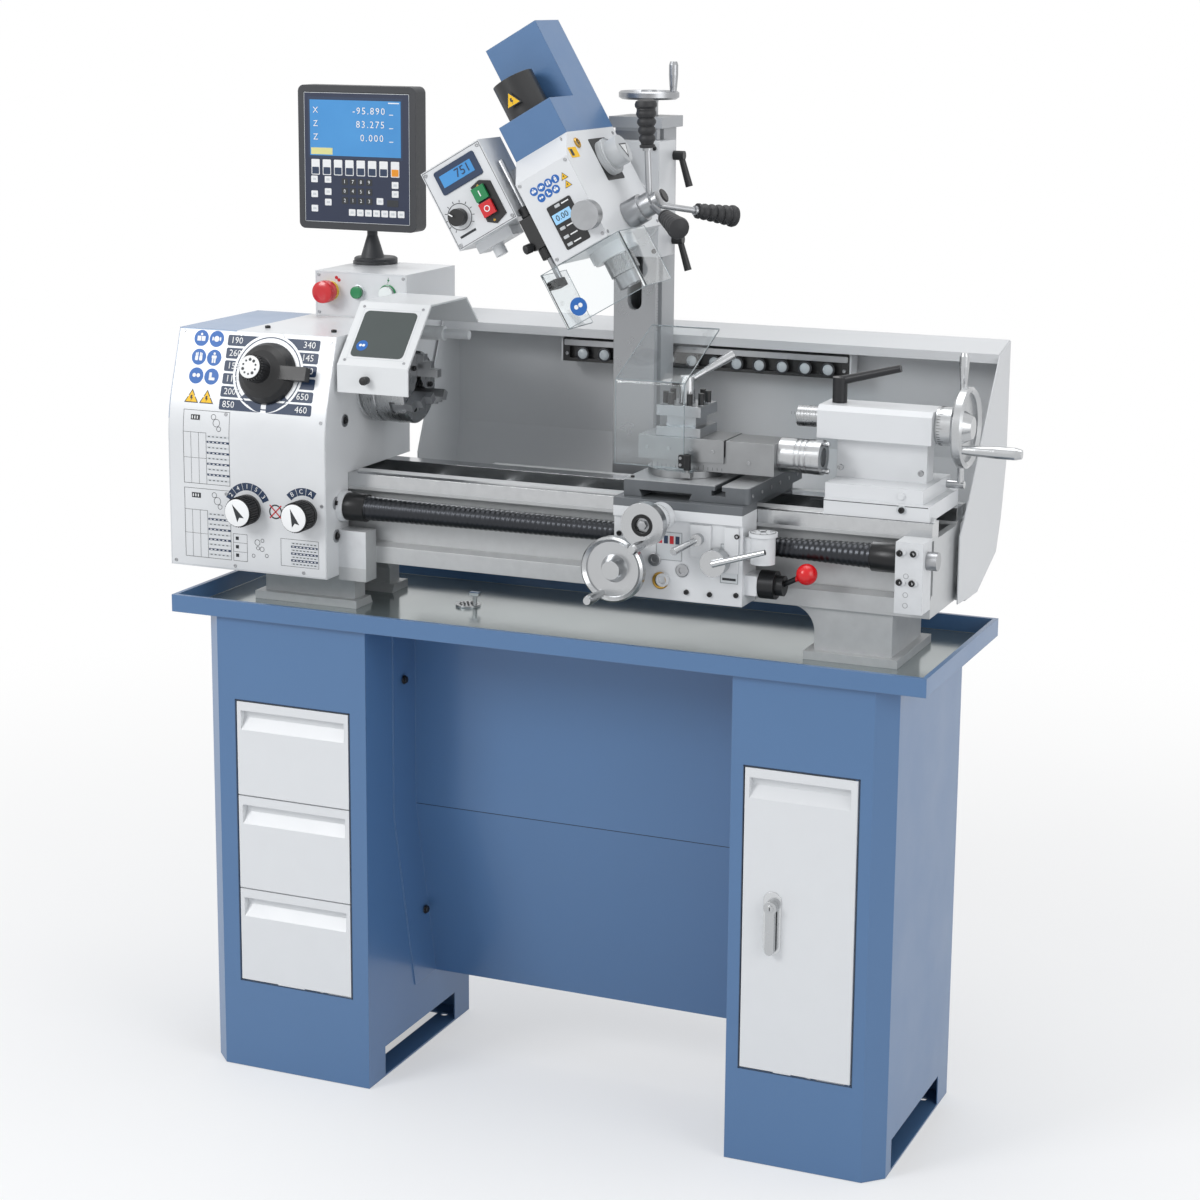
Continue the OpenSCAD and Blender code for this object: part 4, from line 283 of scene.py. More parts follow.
@dataclass(frozen=True)
class Zone:
    """A box of a node, in millimetres, that has a coat of its own; tilted ones lie in the head's frame."""
    low: Point
    high: Point
    coat: Coat
    tilted: bool = False


@dataclass(frozen=True)
class Beyond:
    """All of a node farther than a radius from a point, in millimetres, with a coat of its own."""
    middle: Point
    radius: float
    coat: Coat


MADE: dict[str, bpy.types.Material] = {}


def blank(name: str) -> bpy.types.Material:
    """Returns a new material whose node tree is empty.

    Args:
        name: Its name.

    Returns:
        The material.
    """
    made = bpy.data.materials.new(name)
    made.use_nodes = True
    made.node_tree.nodes.clear()
    return made


@dataclass(frozen=True)
class Finish:
    """An opaque finish with grain, soft edges, wear and dust."""
    name: str
    coat: Coat
    grain: float = 0.05
    scale: float = 25.0
    stretch: Point = (1.0, 1.0, 1.0)
    bump: float = 0.06
    clear_coat: float = 0.0
    edge: float = 0.9
    wear: float = 0.12
    dust: float = 0.04
    zones: tuple[Zone | Beyond, ...] = ()

    def masks(self, tree: Tree) -> list[tuple[Socket, Coat]]:
        """Adds the zones' masks and returns each with its coat.

        Args:
            tree: The material's node tree.

        Returns:
            Each zone's mask and coat.
        """
        found = []
        for zone in self.zones:
            if isinstance(zone, Beyond):
                made = placed(tree, BALL, {"Middle": Vector(zone.middle) * MM, "Radius": zone.radius * MM})
            else:
                low, high = Vector(zone.low) * MM, Vector(zone.high) * MM
                pivot = Vector(HEAD.pivot) * MM if zone.tilted else Vector()
                made = placed(tree, ZONE, {
                    "Middle": (low + high) / 2 + pivot, "Half": (high - low) / 2, "Pivot": pivot,
                    "Turn": math.radians(HEAD.tilt) if zone.tilted else 0.0})
            found.append((made.outputs["Mask"], zone.coat))
        return found

    def material(self) -> bpy.types.Material:
        """Makes the material once and returns it.

        Returns:
            The material.
        """
        if self.name in MADE:
            return MADE[self.name]
        tree = MADE.setdefault(self.name, blank(self.name)).node_tree
        grain = placed(tree, GRAIN, {"Scale": self.scale, "Stretch": self.stretch})
        edges = placed(tree, EDGES, {"Radius": self.edge * MM})
        dust = placed(tree, DUST, {"Amount": self.dust})
        masks = self.masks(tree)
        color = self.tint(tree, grain.outputs["Tone"], self.coat)
        rough: object = self.coat.rough
        metal: object = self.coat.metal
        for mask, coat in masks:
            color = mix(tree, mask, color, self.tint(tree, grain.outputs["Tone"], coat))
            rough = mix(tree, mask, rough, coat.rough, "FLOAT")
            if any(c.metal != self.coat.metal for _, c in masks):
                metal = mix(tree, mask, metal, coat.metal, "FLOAT")
        worn = math_node(tree, "MULTIPLY", edges.outputs["Edge"], self.wear)
        color = mix(tree, worn, color, rgb(BARE_EDGE))
        color = mix(tree, dust.outputs["Mask"], color, rgb(SETTLED_DUST))
        off = math_node(tree, "SUBTRACT", grain.outputs["Tone"], 0.5)
        swing = math_node(tree, "MULTIPLY", off, GLOSS_SWING)
        bump = node(tree, "Bump", {"Strength": self.bump, "Distance": BUMP_DEPTH,
                                   "Height": grain.outputs["Height"], "Normal": edges.outputs["Normal"]})
        shader = node(tree, "BsdfPrincipled", {
            "Base Color": color, "Roughness": math_node(tree, "ADD", rough, swing), "Metallic": metal,
            "Coat Weight": self.clear_coat, "Coat Roughness": CLEAR_COAT_ROUGH, "Normal": bump.outputs[0]})
        node(tree, "OutputMaterial", {0: shader.outputs[0]})
        return MADE[self.name]

    def tint(self, tree: Tree, tone: Socket, coat: Coat) -> Socket:
        """Returns a coat's colour, a little darker where the grain's tone is low.

        Args:
            tree: The material's node tree.
            tone: The grain's tone.
            coat: The coat.

        Returns:
            The colour.
        """
        light = rgb(coat.color)
        low = 1.0 - 2 * self.grain
        dark = (light[0] * low, light[1] * low, light[2] * low, 1.0)
        return mix(tree, tone, dark, light)


@dataclass(frozen=True)
class Clear:
    """A clear sheet, which lets light through to what it shades."""
    name: str
    color: str = "f4fafc"
    rough: float = 0.02

    def material(self) -> bpy.types.Material:
        """Makes the material once and returns it.

        Returns:
            The material.
        """
        if self.name in MADE:
            return MADE[self.name]
        tree = MADE.setdefault(self.name, blank(self.name)).node_tree
        grain = placed(tree, GRAIN, {"Scale": 6.0})
        rough = math_node(tree, "MULTIPLY", grain.outputs["Tone"], self.rough * 2)
        shader = node(tree, "BsdfPrincipled", {
            "Base Color": mix(tree, grain.outputs["Tone"], rgb(self.color), rgb("ffffff")),
            "Roughness": rough, "Transmission Weight": 1.0, "IOR": ACRYLIC_IOR})
        passing = node(tree, "BsdfTransparent", {0: rgb("e4eef2")})
        shade = node(tree, "LightPath").outputs["Is Shadow Ray"]
        both = node(tree, "MixShader", {0: shade, 1: shader.outputs[0], 2: passing.outputs[0]})
        node(tree, "OutputMaterial", {0: both.outputs[0]})
        return MADE[self.name]


@dataclass(frozen=True)
class Glow:
    """A lit surface, such as a screen or a lamp's lens."""
    name: str
    color: str
    second: str
    strength: float = 0.8

    def material(self) -> bpy.types.Material:
        """Makes the material once and returns it.

        Returns:
            The material.
        """
        if self.name in MADE:
            return MADE[self.name]
        tree = MADE.setdefault(self.name, blank(self.name)).node_tree
        grain = placed(tree, GRAIN, {"Scale": 9.0})
        color = mix(tree, grain.outputs["Tone"], rgb(self.color), rgb(self.second))
        shader = node(tree, "BsdfPrincipled", {"Base Color": color, "Roughness": 0.15,
                                               "Emission Color": color, "Emission Strength": self.strength})
        node(tree, "OutputMaterial", {0: shader.outputs[0]})
        return MADE[self.name]


Look = Finish | Clear | Glow


def printed(name: str, color: str, rough: float = 0.5, grain: float = 0.04, metal: float = 0.0) -> Finish:
    """Makes the finish of printed ink or foil, which doesn't wear.

    Args:
        name: The finish's name.
        color: Its written colour.
        rough: Its roughness.
        grain: How far the grain darkens it.
        metal: Its metal share.

    Returns:
        The finish.
    """
    return Finish(name, Coat(color, rough, metal), grain=grain, edge=0.1, wear=0.0)


def painted(name: str, *zones: Zone, edge: float = 1.4) -> Finish:
    """Makes the white paint with zones of other coats.

    Args:
        name: The finish's name.
        zones: Boxes of the node with coats of their own.
        edge: Radius of the soft edges, in millimetres.

    Returns:
        The finish.
    """
    return replace(WHITE, name=name, edge=edge, zones=zones)


BLUE_COAT = Coat("4f749f", 0.34)
WHITE_COAT = Coat("dddfe1", 0.36)
STEEL_COAT = Coat("a9abae", 0.34, 1.0)
BLACK_COAT = Coat("17181a", 0.4)
DARK_IRON = Coat("666a6e", 0.42, 0.4)
BLUE = Finish("blue_paint", BLUE_COAT, clear_coat=0.25, grain=0.02, scale=8.0, edge=1.4, wear=0.1)
WHITE = Finish("white_paint", WHITE_COAT, clear_coat=0.2, grain=0.015, edge=1.4)
GREY_SHEET = Finish("grey_sheet", Coat("c6c9cb", 0.42), grain=0.02)
STEEL = Finish("steel", STEEL_COAT, grain=0.1, scale=60.0, bump=0.04, edge=0.6)
TURNED = Finish("turned_steel", Coat("a8aaac", 0.28, 1.0), grain=0.08, scale=40.0, stretch=(8.0, 1.0, 1.0))
BRIGHT = Finish("bright_steel", Coat("bcbec0", 0.24, 1.0), grain=0.04, edge=0.6)
GROUND = Finish("ground_steel", Coat("9d9fa1", 0.36, 0.9), grain=0.12, scale=30.0, stretch=(1.0, 9.0, 1.0))
BLACK = Finish("black_plastic", BLACK_COAT, grain=0.1, bump=0.12)
BLACK_SATIN = Finish("black_oxide", Coat("1d1e20", 0.32, 0.4), grain=0.1, scale=60.0)
GREY = Finish("grey_plastic", Coat("34363a", 0.5), grain=0.06, scale=120.0, bump=0.2)
RED = Finish("red_plastic", Coat("d01822", 0.25), clear_coat=0.4, grain=0.03)
GREEN = Finish("green_plastic", Coat("0c8048", 0.28), clear_coat=0.3, grain=0.03)
BRASS = Finish("brass", Coat("c29a4a", 0.3, 1.0), grain=0.08, scale=70.0)
LENS = Finish("white_lens", Coat("f1f6f4", 0.2), clear_coat=0.5, grain=0.02)
# Dark print; also used for painted shade in holes, slots and split lines.
INK_AND_SHADE = printed("dark_print_and_painted_shade", "22262b")
NAVY = printed("navy_print", "1f3350", 0.45, 0.04)
SIGNAL_BLUE = printed("blue_print", "1a62b0", 0.45, 0.03)
PAPER = printed("white_print", "f2f3f3", 0.5, 0.02)
SUN = printed("yellow_print", "f5c21a", 0.5, 0.03)
RED_PRINT = printed("red_print", "c8202a", 0.5, 0.03)
PLATE = printed("plate_print", "cfd3d6", 0.42, metal=0.3)
SCREEN = Glow("blue_screen", "3a7fba", "4b92cb", 0.22)
SMALL_SCREEN = Glow("pale_screen", "7fb2d8", "9cc6e2", 0.4)
LAMP_LENS = Glow("lamp_lens", "c9cfd2", "9aa2a8", 0.12)
ACRYLIC = Clear("acrylic")
RUBBER = Finish("rubber_grip", Coat("242528", 0.55), grain=0.1, scale=80.0, bump=0.15)
# Dark blue lines of painted shade in the stand's gaps and along its panel fold.
GAP_SHADE = printed("painted_gap_shade", "26374c", 0.5, 0.05)
PLATE_WHITE = Finish("front_plate_paint", Coat("dcdee0", 0.38, 0.15), grain=0.02, edge=0.2, wear=0.0)
SMOKE = Finish("smoked_window", Coat("3b4544", 0.06), clear_coat=0.6, grain=0.05, edge=0.4)
SPRING = Finish("spring_strip", Coat("3c3e42", 0.3, 0.9), grain=0.12, scale=50.0, edge=0.4, wear=0.5)
# Grey lines of painted reflection along the clear panes' edges and folds.
PANE_EDGE_REFLECTION = Finish("painted_pane_edge_reflection", Coat("8f999d", 0.2), clear_coat=0.5, grain=0.05, edge=0.1, wear=0.0)


# Places

@dataclass(frozen=True)
class Head:
    """The tilted mill head's own frame: its pivot and its lean to the left."""
    pivot: Point = (21.5, 0.0, 1502.0)
    tilt: float = 30.0

    def point(self, u: float, y: float, w: float) -> Vector:
        """Turns a point of the head's frame into one of the machine's."""
        c, s = math.cos(math.radians(self.tilt)), math.sin(math.radians(self.tilt))
        return Vector((self.pivot[0] + u * c - w * s, y, self.pivot[2] + u * s + w * c))

    def way(self, u: float, y: float, w: float) -> Vector:
        """Turns a direction of the head's frame into one of the machine's."""
        return self.point(u, y, w) - self.point(0.0, 0.0, 0.0)


HEAD = Head()


def at(origin: Sequence[float], right: Sequence[float] = (1, 0, 0), up: Sequence[float] = (0, 0, 1)) -> Place:
    """Makes a place: local x to the right, y up and z out of the surface, in millimetres.

    Args:
        origin: Where its zero lies.
        right: Direction of its x.
        up: Direction of its y.

    Returns:
        A function from local to machine coordinates.
    """
    o, r, u = Vector(origin), Vector(right).normalized(), Vector(up).normalized()
    out = r.cross(u)
    return lambda x, y, z: o + r * x + u * y + out * z


def upward(x: float, y: float, z: float) -> Place:
    """Returns a place on a face that looks up."""
    return at((x, y, z), up=(0, 1, 0))


def beside(u: float, y: float, w: float) -> Place:
    """Returns a place on a right-hand face of the tilted head."""
    return at(HEAD.point(u, y, w), (0, 1, 0), HEAD.way(0, 0, 1))


def on_head(u: float, y: float, w: float) -> Place:
    """Returns a place on a front face of the tilted head."""
    return at(HEAD.point(u, y, w), HEAD.way(1, 0, 0), HEAD.way(0, 0, 1))


def along(origin: Sequence[float], way: Sequence[float], turn: float = 0.0) -> Place:
    """Makes a place whose local z points along a direction.

    Args:
        origin: Where its zero lies.
        way: Direction of its z.
        turn: Degrees that it is turned about its z.

    Returns:
        A function from local to machine coordinates.
    """
    z = Vector(way).normalized()
    side = Vector((0, 0, 1)) if abs(z.z) < 0.9 else Vector((1, 0, 0))
    x = side.cross(z).normalized()
    x.rotate(Matrix.Rotation(math.radians(turn), 3, z))
    return at(origin, x, z.cross(x))


def shifted(place: Place, dx: float, dy: float, dz: float = 0.0) -> Place:
    """Returns a place moved within itself."""
    return lambda x, y, z: place(x + dx, y + dy, z + dz)


def spun(place: Place, angle: float) -> Place:
    """Returns a place turned about its own z."""
    c, s = math.cos(angle), math.sin(angle)
    return lambda x, y, z: place(x * c - y * s, x * s + y * c, z)


def circle(r: float, n: int = 32, x: float = 0.0, y: float = 0.0, start: float = 0.0) -> list[Flat]:
    """Returns the points of a circle, or of a regular polygon of n corners."""
    turn = [math.radians(start) + math.tau * i / n for i in range(n)]
    return [(x + r * math.cos(a), y + r * math.sin(a)) for a in turn]


def box(x0: float, y0: float, x1: float, y1: float, r: float = 0.0) -> list[Flat]:
    """Returns the points of a rectangle, with round corners if r is over 0.

    Args:
        x0: Its left side.
        y0: Its lower side.
        x1: Its right side.
        y1: Its upper side.
        r: Radius of its corners.

    Returns:
        The points, counter-clockwise.
    """
    if r <= 0:
        return [(x0, y0), (x1, y0), (x1, y1), (x0, y1)]
    corners = ((x1 - r, y0 + r, -90), (x1 - r, y1 - r, 0), (x0 + r, y1 - r, 90), (x0 + r, y0 + r, 180))
    return [(cx + r * math.cos(math.radians(a + b)), cy + r * math.sin(math.radians(a + b)))
            for cx, cy, a in corners for b in (0, 22.5, 45, 67.5, 90)]


class Piece:
    """Gathers faces in millimetres and turns them into one mesh that rides on a body."""

    def __init__(self, name: str, body: str, slot: str) -> None:
        """Starts an empty piece.

        Args:
            name: The piece's name.
            body: The CAD body that it rides on.
            slot: The record's material slot; stored, but not used.
        """
        self.name, self.body, self.slot = name, body, slot
        self.points: list[Vector] = []
        self.faces: list[list[int]] = []
        self.which: list[int] = []
        self.looks: list[Look] = []

    def add(self, points: Sequence[Vector], faces: Sequence[Sequence[int]], look: Look) -> None:
        """Adds points and the faces between them in one look.

        Args:
            points: The points, in millimetres.
            faces: Numbers of the points round each face.
            look: Its finish.
        """
        if look not in self.looks:
            self.looks.append(look)
        start = len(self.points)
        self.points += points
        self.faces += [[start + i for i in f] for f in faces]
        self.which += [self.looks.index(look)] * len(faces)

    def flat(self, outline: Sequence[Flat], place: Place, look: Look, lift: float = 0.25) -> None:
        """Adds a thin printed or glued shape, standing a hair proud of its surface."""
        self.push(outline, 0.0, lift, place, look)

    def push(self, outline: Sequence[Flat], z0: float, z1: float, place: Place, look: Look,
             soft: float = 0.0) -> None:
        """Adds an outline pushed from z0 to z1, its far edge drawn in a little if soft is over 0.

        Args:
            outline: Corner points, counter-clockwise.
            z0: Where it starts, out of the surface.
            z1: Where it ends.
            place: Where it lies.
            look: Its finish.
            soft: Width of the chamfer round the far face.
        """
        n = len(outline)
        cx, cy = sum(p[0] for p in outline) / n, sum(p[1] for p in outline) / n
        far = max(max(abs(p[0] - cx), abs(p[1] - cy)) for p in outline)
        rows = [(z0, 1.0), (z1, 1.0)] if soft <= 0 else [(z0, 1.0), (z1 - soft, 1.0), (z1, 1 - soft / far)]
        points = [place(cx + (x - cx) * k, cy + (y - cy) * k, z) for z, k in rows for x, y in outline]
        faces = [[r * n + i, r * n + (i + 1) % n, (r + 1) * n + (i + 1) % n, (r + 1) * n + i]
                 for r in range(len(rows) - 1) for i in range(n)]
        top = (len(rows) - 1) * n
        faces += [list(range(n - 1, -1, -1)), list(range(top, top + n))]
        self.add(points, faces, look)

    def turn(self, profile: Sequence[Flat], place: Place, look: Look, steps: int = 40) -> None:
        """Adds a turned form.

        Args:
            profile: (radius, height) points.
            place: Its local z is the axis.
            look: Its finish.
            steps: Number of facets round the axis.
        """
        ring = [(math.cos(math.tau * i / steps), math.sin(math.tau * i / steps)) for i in range(steps)]
        points = [place(r * c, r * s, h) for r, h in profile for c, s in ring]
        faces = [[k * steps + i, k * steps + (i + 1) % steps, (k + 1) * steps + (i + 1) % steps,
                  (k + 1) * steps + i] for k in range(len(profile) - 1) for i in range(steps)]
        self.add(points, faces, look)

    def tube(self, path: Sequence[Vector], radius: float, look: Look, sides: int = 8) -> None:
        """Adds a round bar that follows a path.

        Args:
            path: The points of its middle line.
            radius: Its radius.
            look: Its finish.
            sides: Number of its facets.
        """
        points, side = [], Vector((0.123, 0.456, 0.789))
        for i, spot in enumerate(path):
            way = (path[min(i + 1, len(path) - 1)] - path[max(i - 1, 0)]).normalized()
            side = (side - way * side.dot(way)).normalized()
            other = way.cross(side)
            points += [spot + (side * math.cos(math.tau * k / sides) + other * math.sin(math.tau * k / sides))
                       * radius for k in range(sides)]
        last = (len(path) - 1) * sides
        faces = [[r * sides + k, r * sides + (k + 1) % sides, (r + 1) * sides + (k + 1) % sides,
                  (r + 1) * sides + k] for r in range(len(path) - 1) for k in range(sides)]
        faces += [list(range(sides - 1, -1, -1)), list(range(last, last + sides))]
        self.add(points, faces, look)

    def digits(self, words: str, height: float, place: Place, look: Look, middle: bool = True,
               spacing: float = 1.0) -> None:
        """Adds plain figures that lie flat on a place.

        Args:
            words: The figures.
            height: About the height of a figure.
            place: Where they lie.
            look: Their finish.
            middle: Whether they are centred on the place's origin or start there.
            spacing: Distance between figures, as a factor.
        """
        curve = bpy.data.curves.new("figures", "FONT")
        curve.body, curve.size, curve.resolution_u = words, height * FIGURE_SCALE, 2
        curve.space_character = spacing
        curve.align_x = "CENTER" if middle else "LEFT"
        curve.align_y = "CENTER"
        shape = bpy.data.objects.new("figures", curve)
        mesh = shape.to_mesh()
        points = [place(v.co.x, v.co.y, FIGURE_LIFT) for v in mesh.vertices]
        faces = [list(p.vertices) for p in mesh.polygons]
        shape.to_mesh_clear()
        bpy.data.objects.remove(shape)
        self.add(points, faces, look)

    def ring(self, r: float, half: float, place: Place, steps: int = 24, lift: float = 0.5) -> None:
        """Prints a dark ring of a radius and half a width round a place."""
        self.turn([(r + half, lift), (r - half, lift)], place, INK_AND_SHADE, steps)

    def ribs(self, count: int, outline: Sequence[Flat], z0: float, z1: float, place: Place,
             soft: float) -> None:
        """Adds black ribs, evenly spaced round a place's z."""
        for k in range(count):
            self.push(outline, z0, z1, spun(place, math.tau * k / count), BLACK, soft)

    def screw(self, place: Place, r: float = 4.0, look: Look = BLACK_SATIN, tall: bool = True) -> None:
        """Adds a screw head: a rounded cap with a socket, or a flat one if tall is off.

        Args:
            place: Its local z is the axis.
            r: Radius of the head.
            look: Its finish.
            tall: Whether the head is a tall one.
        """
        h = r * 0.9 if tall else r * 0.4
        self.turn([(r, 0), (r, h * 0.75), (r * 0.86, h), (r * 0.52, h), (r * 0.5, h * 0.45), (0, h * 0.4)],
                  place, look, 6 if r < 2 else 18)

    def screws(self, place: Place, spots: Iterable[Flat], r: float = 4.0, look: Look = BLACK_SATIN,
               tall: bool = True) -> None:
        """Adds a screw head at each spot of a place."""
        for x, y in spots:
            self.screw(shifted(place, x, y), r, look, tall)

    def bolt(self, place: Place, r: float = 7.0, look: Look = BLACK_SATIN) -> None:
        """Adds a six-sided bolt head on its washer."""
        self.turn([(r * 1.25, 0), (r * 1.25, r * 0.18), (0, r * 0.2)], place, look, 24)
        self.push(circle(r, 6), r * 0.18, r * 0.85, place, look, r * 0.14)

    def done(self, sharp: float = 32.0, replaces: Sequence[str] = ()) -> bpy.types.Object:
        """Makes the mesh object, dresses it and hangs it on its body.

        Args:
            sharp: Angle in degrees above which an edge stays sharp.
            replaces: CAD nodes that it stands for.

        Returns:
            The object.
        """
        mesh = bpy.data.meshes.new(self.name)
        mesh.from_pydata([p * MM for p in self.points], [], self.faces)
        for look in self.looks:
            mesh.materials.append(look.material())
        for polygon, index in zip(mesh.polygons, self.which):
            polygon.material_index = index
            polygon.use_smooth = True
        mesh.update()
        mesh.set_sharp_from_angle(angle=math.radians(sharp))
        made = bpy.data.objects.new(self.name, mesh)
        bpy.context.scene.collection.objects.link(made)
        if self.body:
            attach(made, self.body)
        if replaces:
            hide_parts(*replaces)
        LOG.info("%s: %d faces on %s", self.name, len(self.faces), self.body)
        return made


def turned(name: str, body: str, slot: str, profile: Sequence[Flat], place: Place, look: Look,
           steps: int) -> None:
    """Adds a piece that is one turned form.

    Args:
        name: The piece's name.
        body: The CAD body that it rides on.
        slot: Its material slot.
        profile: (radius, height) points.
        place: Its local z is the axis.
        look: Its finish.
        steps: Number of facets round the axis.
    """
    piece = Piece(name, body, slot)
    piece.turn(profile, place, look, steps)
    piece.done()


def dress(look: Look, *names: str) -> None:
    """Gives CAD nodes a finish.

    Args:
        look: The finish.
        names: The nodes.
    """
    for name in names:
        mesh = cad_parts[name].data
        mesh.materials.clear()
        mesh.materials.append(look.material())


# Printed signs

class Glyph(Enum):
    """The plain pictograms of the blue signs."""
    BOOK = "read the book"
    EARS = "cover the ears"
    GLOVES = "wear gloves"
    SUIT = "wear close clothes"
    GOGGLES = "wear goggles"
    BOOTS = "wear boots"


GLYPHS: dict[Glyph, list[list[Flat]]] = {
    Glyph.BOOK: [box(-.55, -.35, -.04, .25, .06), box(.04, -.35, .55, .25, .06), circle(.16, 14, 0, .48)],
    Glyph.EARS: [circle(.36, 24), box(-.62, -.22, -.42, .24, .08), box(.42, -.22, .62, .24, .08)],
    Glyph.GLOVES: [box(-.5, -.45, -.08, .12, .12), box(.08, -.45, .5, .12, .12), box(-.46, .1, -.3, .5, .06),
               box(-.26, .1, -.1, .56, .06), box(.12, .1, .28, .56, .06), box(.32, .1, .46, .5, .06)],
    Glyph.SUIT: [circle(.16, 14, 0, .5), box(-.34, -.08, .34, .28, .1), box(-.26, -.64, -.04, -.04, .05),
             box(.04, -.64, .26, -.04, .05)],
    Glyph.GOGGLES: [circle(.25, 20, -.28, .05), circle(.25, 20, .28, .05), box(-.1, 0, .1, .1)],
    Glyph.BOOTS: [box(-.34, -.2, .02, .5, .06), box(-.34, -.45, .48, -.1, .1)],
}


def sign(piece: Piece, place: Place, glyph: Glyph, r: float) -> None:
    """Prints a round blue sign with a plain white pictogram.

    Args:
        piece: The piece that gets it.
        place: Where it lies.
        glyph: The pictogram.
        r: The sign's radius.
    """
    piece.flat(circle(r, 36), place, SIGNAL_BLUE, 0.5)
    for outline in GLYPHS[glyph]:
        piece.flat([(x * r, y * r) for x, y in outline], place, PAPER, 0.7)


def caution(piece: Piece, place: Place, side: float) -> None:
    """Prints a yellow triangle with a dark edge and a plain bolt.

    Args:
        piece: The piece that gets it.
        place: Where it lies.
        side: Length of the triangle's sides.
    """
    r = side / math.sqrt(3)
    piece.flat(circle(r, 3, start=90), place, INK_AND_SHADE, 0.5)
    piece.flat(circle(r * 0.8, 3, start=90), place, SUN, 0.65)
    piece.flat([(-.12 * r, .3 * r), (.1 * r, .3 * r), (.02 * r, .05 * r), (.16 * r, .05 * r),
                (-.08 * r, -.34 * r), (0, -.06 * r), (-.16 * r, -.06 * r)][::-1], place, INK_AND_SHADE, 0.8)


def strip(piece: Piece, place: Place, x0: float, y0: float, x1: float, y1: float, look: Look,
          lift: float = 0.5, step: float = 9.0) -> None:
    """Prints a filled rectangle, cut along y so that it follows a curved surface.

    Args:
        piece: The piece that gets it.
        place: The surface that it lies on.
        x0: Its left side.
        y0: Its lower side.
        x1: Its right side.
        y1: Its upper side.
        look: Its finish.
        lift: How far it stands out of the surface.
        step: Longest cut along y.
    """
    n = max(1, math.ceil((y1 - y0) / step))
    points = [place(x, y0 + (y1 - y0) * i / n, lift) for i in range(n + 1) for x in (x0, x1)]
    piece.add(points, [[2 * i, 2 * i + 1, 2 * i + 3, 2 * i + 2] for i in range(n)], look)


def frame_line(piece: Piece, place: Place, x0: float, y0: float, x1: float, y1: float, width: float,
               look: Look, lift: float = 0.5) -> None:
    """Prints a rectangle's outline, in strips that follow a curved surface.

    Args:
        piece: The piece that gets it.
        place: The surface that it lies on.
        x0: Its left side.
        y0: Its lower side.
        x1: Its right side.
        y1: Its upper side.
        width: Width of its line.
        look: Its finish.
        lift: How far it stands out of the surface.
    """
    for a, b, c, d in ((x0, y0, x1, y0 + width), (x0, y1 - width, x1, y1),
                       (x0, y0, x0 + width, y1), (x1 - width, y0, x1, y1)):
        strip(piece, place, a, b, c, d, look, lift)


# The machine

@dataclass
class Stand:
    """The blue stand: cabinets, drawers, door and tray."""
    front: float = -197.5
    lock: Point = (429.0, -212.0, 444.0)

    def dress(self) -> None:
        """Gives the stand's nodes their paint."""
        dress(BLUE, "cabinets")
        dress(replace(BLUE, name="tray_paint", wear=0.12, zones=(
            Zone((-664.5, -199.8, 819.4), (664.5, 216.8, 820.6), Coat("8d999a", 0.16, 0.55)),
            Zone((-250, 0, 820.7), (-190, 70, 845), Coat("b9bcbe", 0.3, 1.0)))), "chip_tray")
        dress(WHITE, "drawer_top", "drawer_middle", "drawer_bottom")
        dress(painted("door_paint", Zone((400, -202, 350), (450, -197.6, 480), Coat("cfd1d3", 0.2, 1.0))),
              "cabinet_door")
        dress(BRIGHT, "door_latch")

    def build(self) -> None:
        """Adds the panel's bolts and the latch's lock, with painted shade in the gaps, strainer holes and key
        slot.
        """
        piece = Piece("panel_bolts", "stand", "black_steel")
        for x, side in ((-299.5, 1.0), (351.5, -1.0)):
            for y, z in ((-64.0, 703.0), (12.0, 260.0)):
                piece.bolt(along((x + side * 2.0, y, z), (side, 0, 0)), 6.5)
        piece.done()
        # Painted shade: dark lines in the gaps round the drawer stack and the door, and along the panel fold.
        gap_shade = Piece("front_gap_shade", "stand", "black_steel")
        face = at((0, self.front, 0))
        frame_line(gap_shade, face, -556.5, 159.5, -332.5, 672.5, 1.7, GAP_SHADE, 0.3)
        frame_line(gap_shade, face, 375.0, 159.5, 569.0, 672.5, 1.7, GAP_SHADE, 0.3)
        strip(gap_shade, at((0, -18, 0)), -299, 466.4, 351, 467.6, GAP_SHADE, 0.3)
        gap_shade.done()
        # The strainer's holes are dark discs of painted shade.
        drain = Piece("strainer_holes", "stand", "black_steel")
        for r, n in ((0, 1), (7, 6), (14, 12)):
            for x, y in circle(r, n):
                drain.flat(circle(2.0, 12, x, y), upward(-223, 36, 824.2), INK_AND_SHADE)
        drain.done()
        lock = Piece("latch_lock", "latch", "bright_steel")
        place = at(self.lock)
        lock.turn([(6, -2), (6, 0.6), (5, 1.2), (0, 1.2)], place, BRIGHT, 28)
        # The key slot is a dark strip of painted shade.
        lock.flat(box(-0.7, -3, 0.7, 3), shifted(place, 0, 0, 1.2), INK_AND_SHADE)
        lock.done()


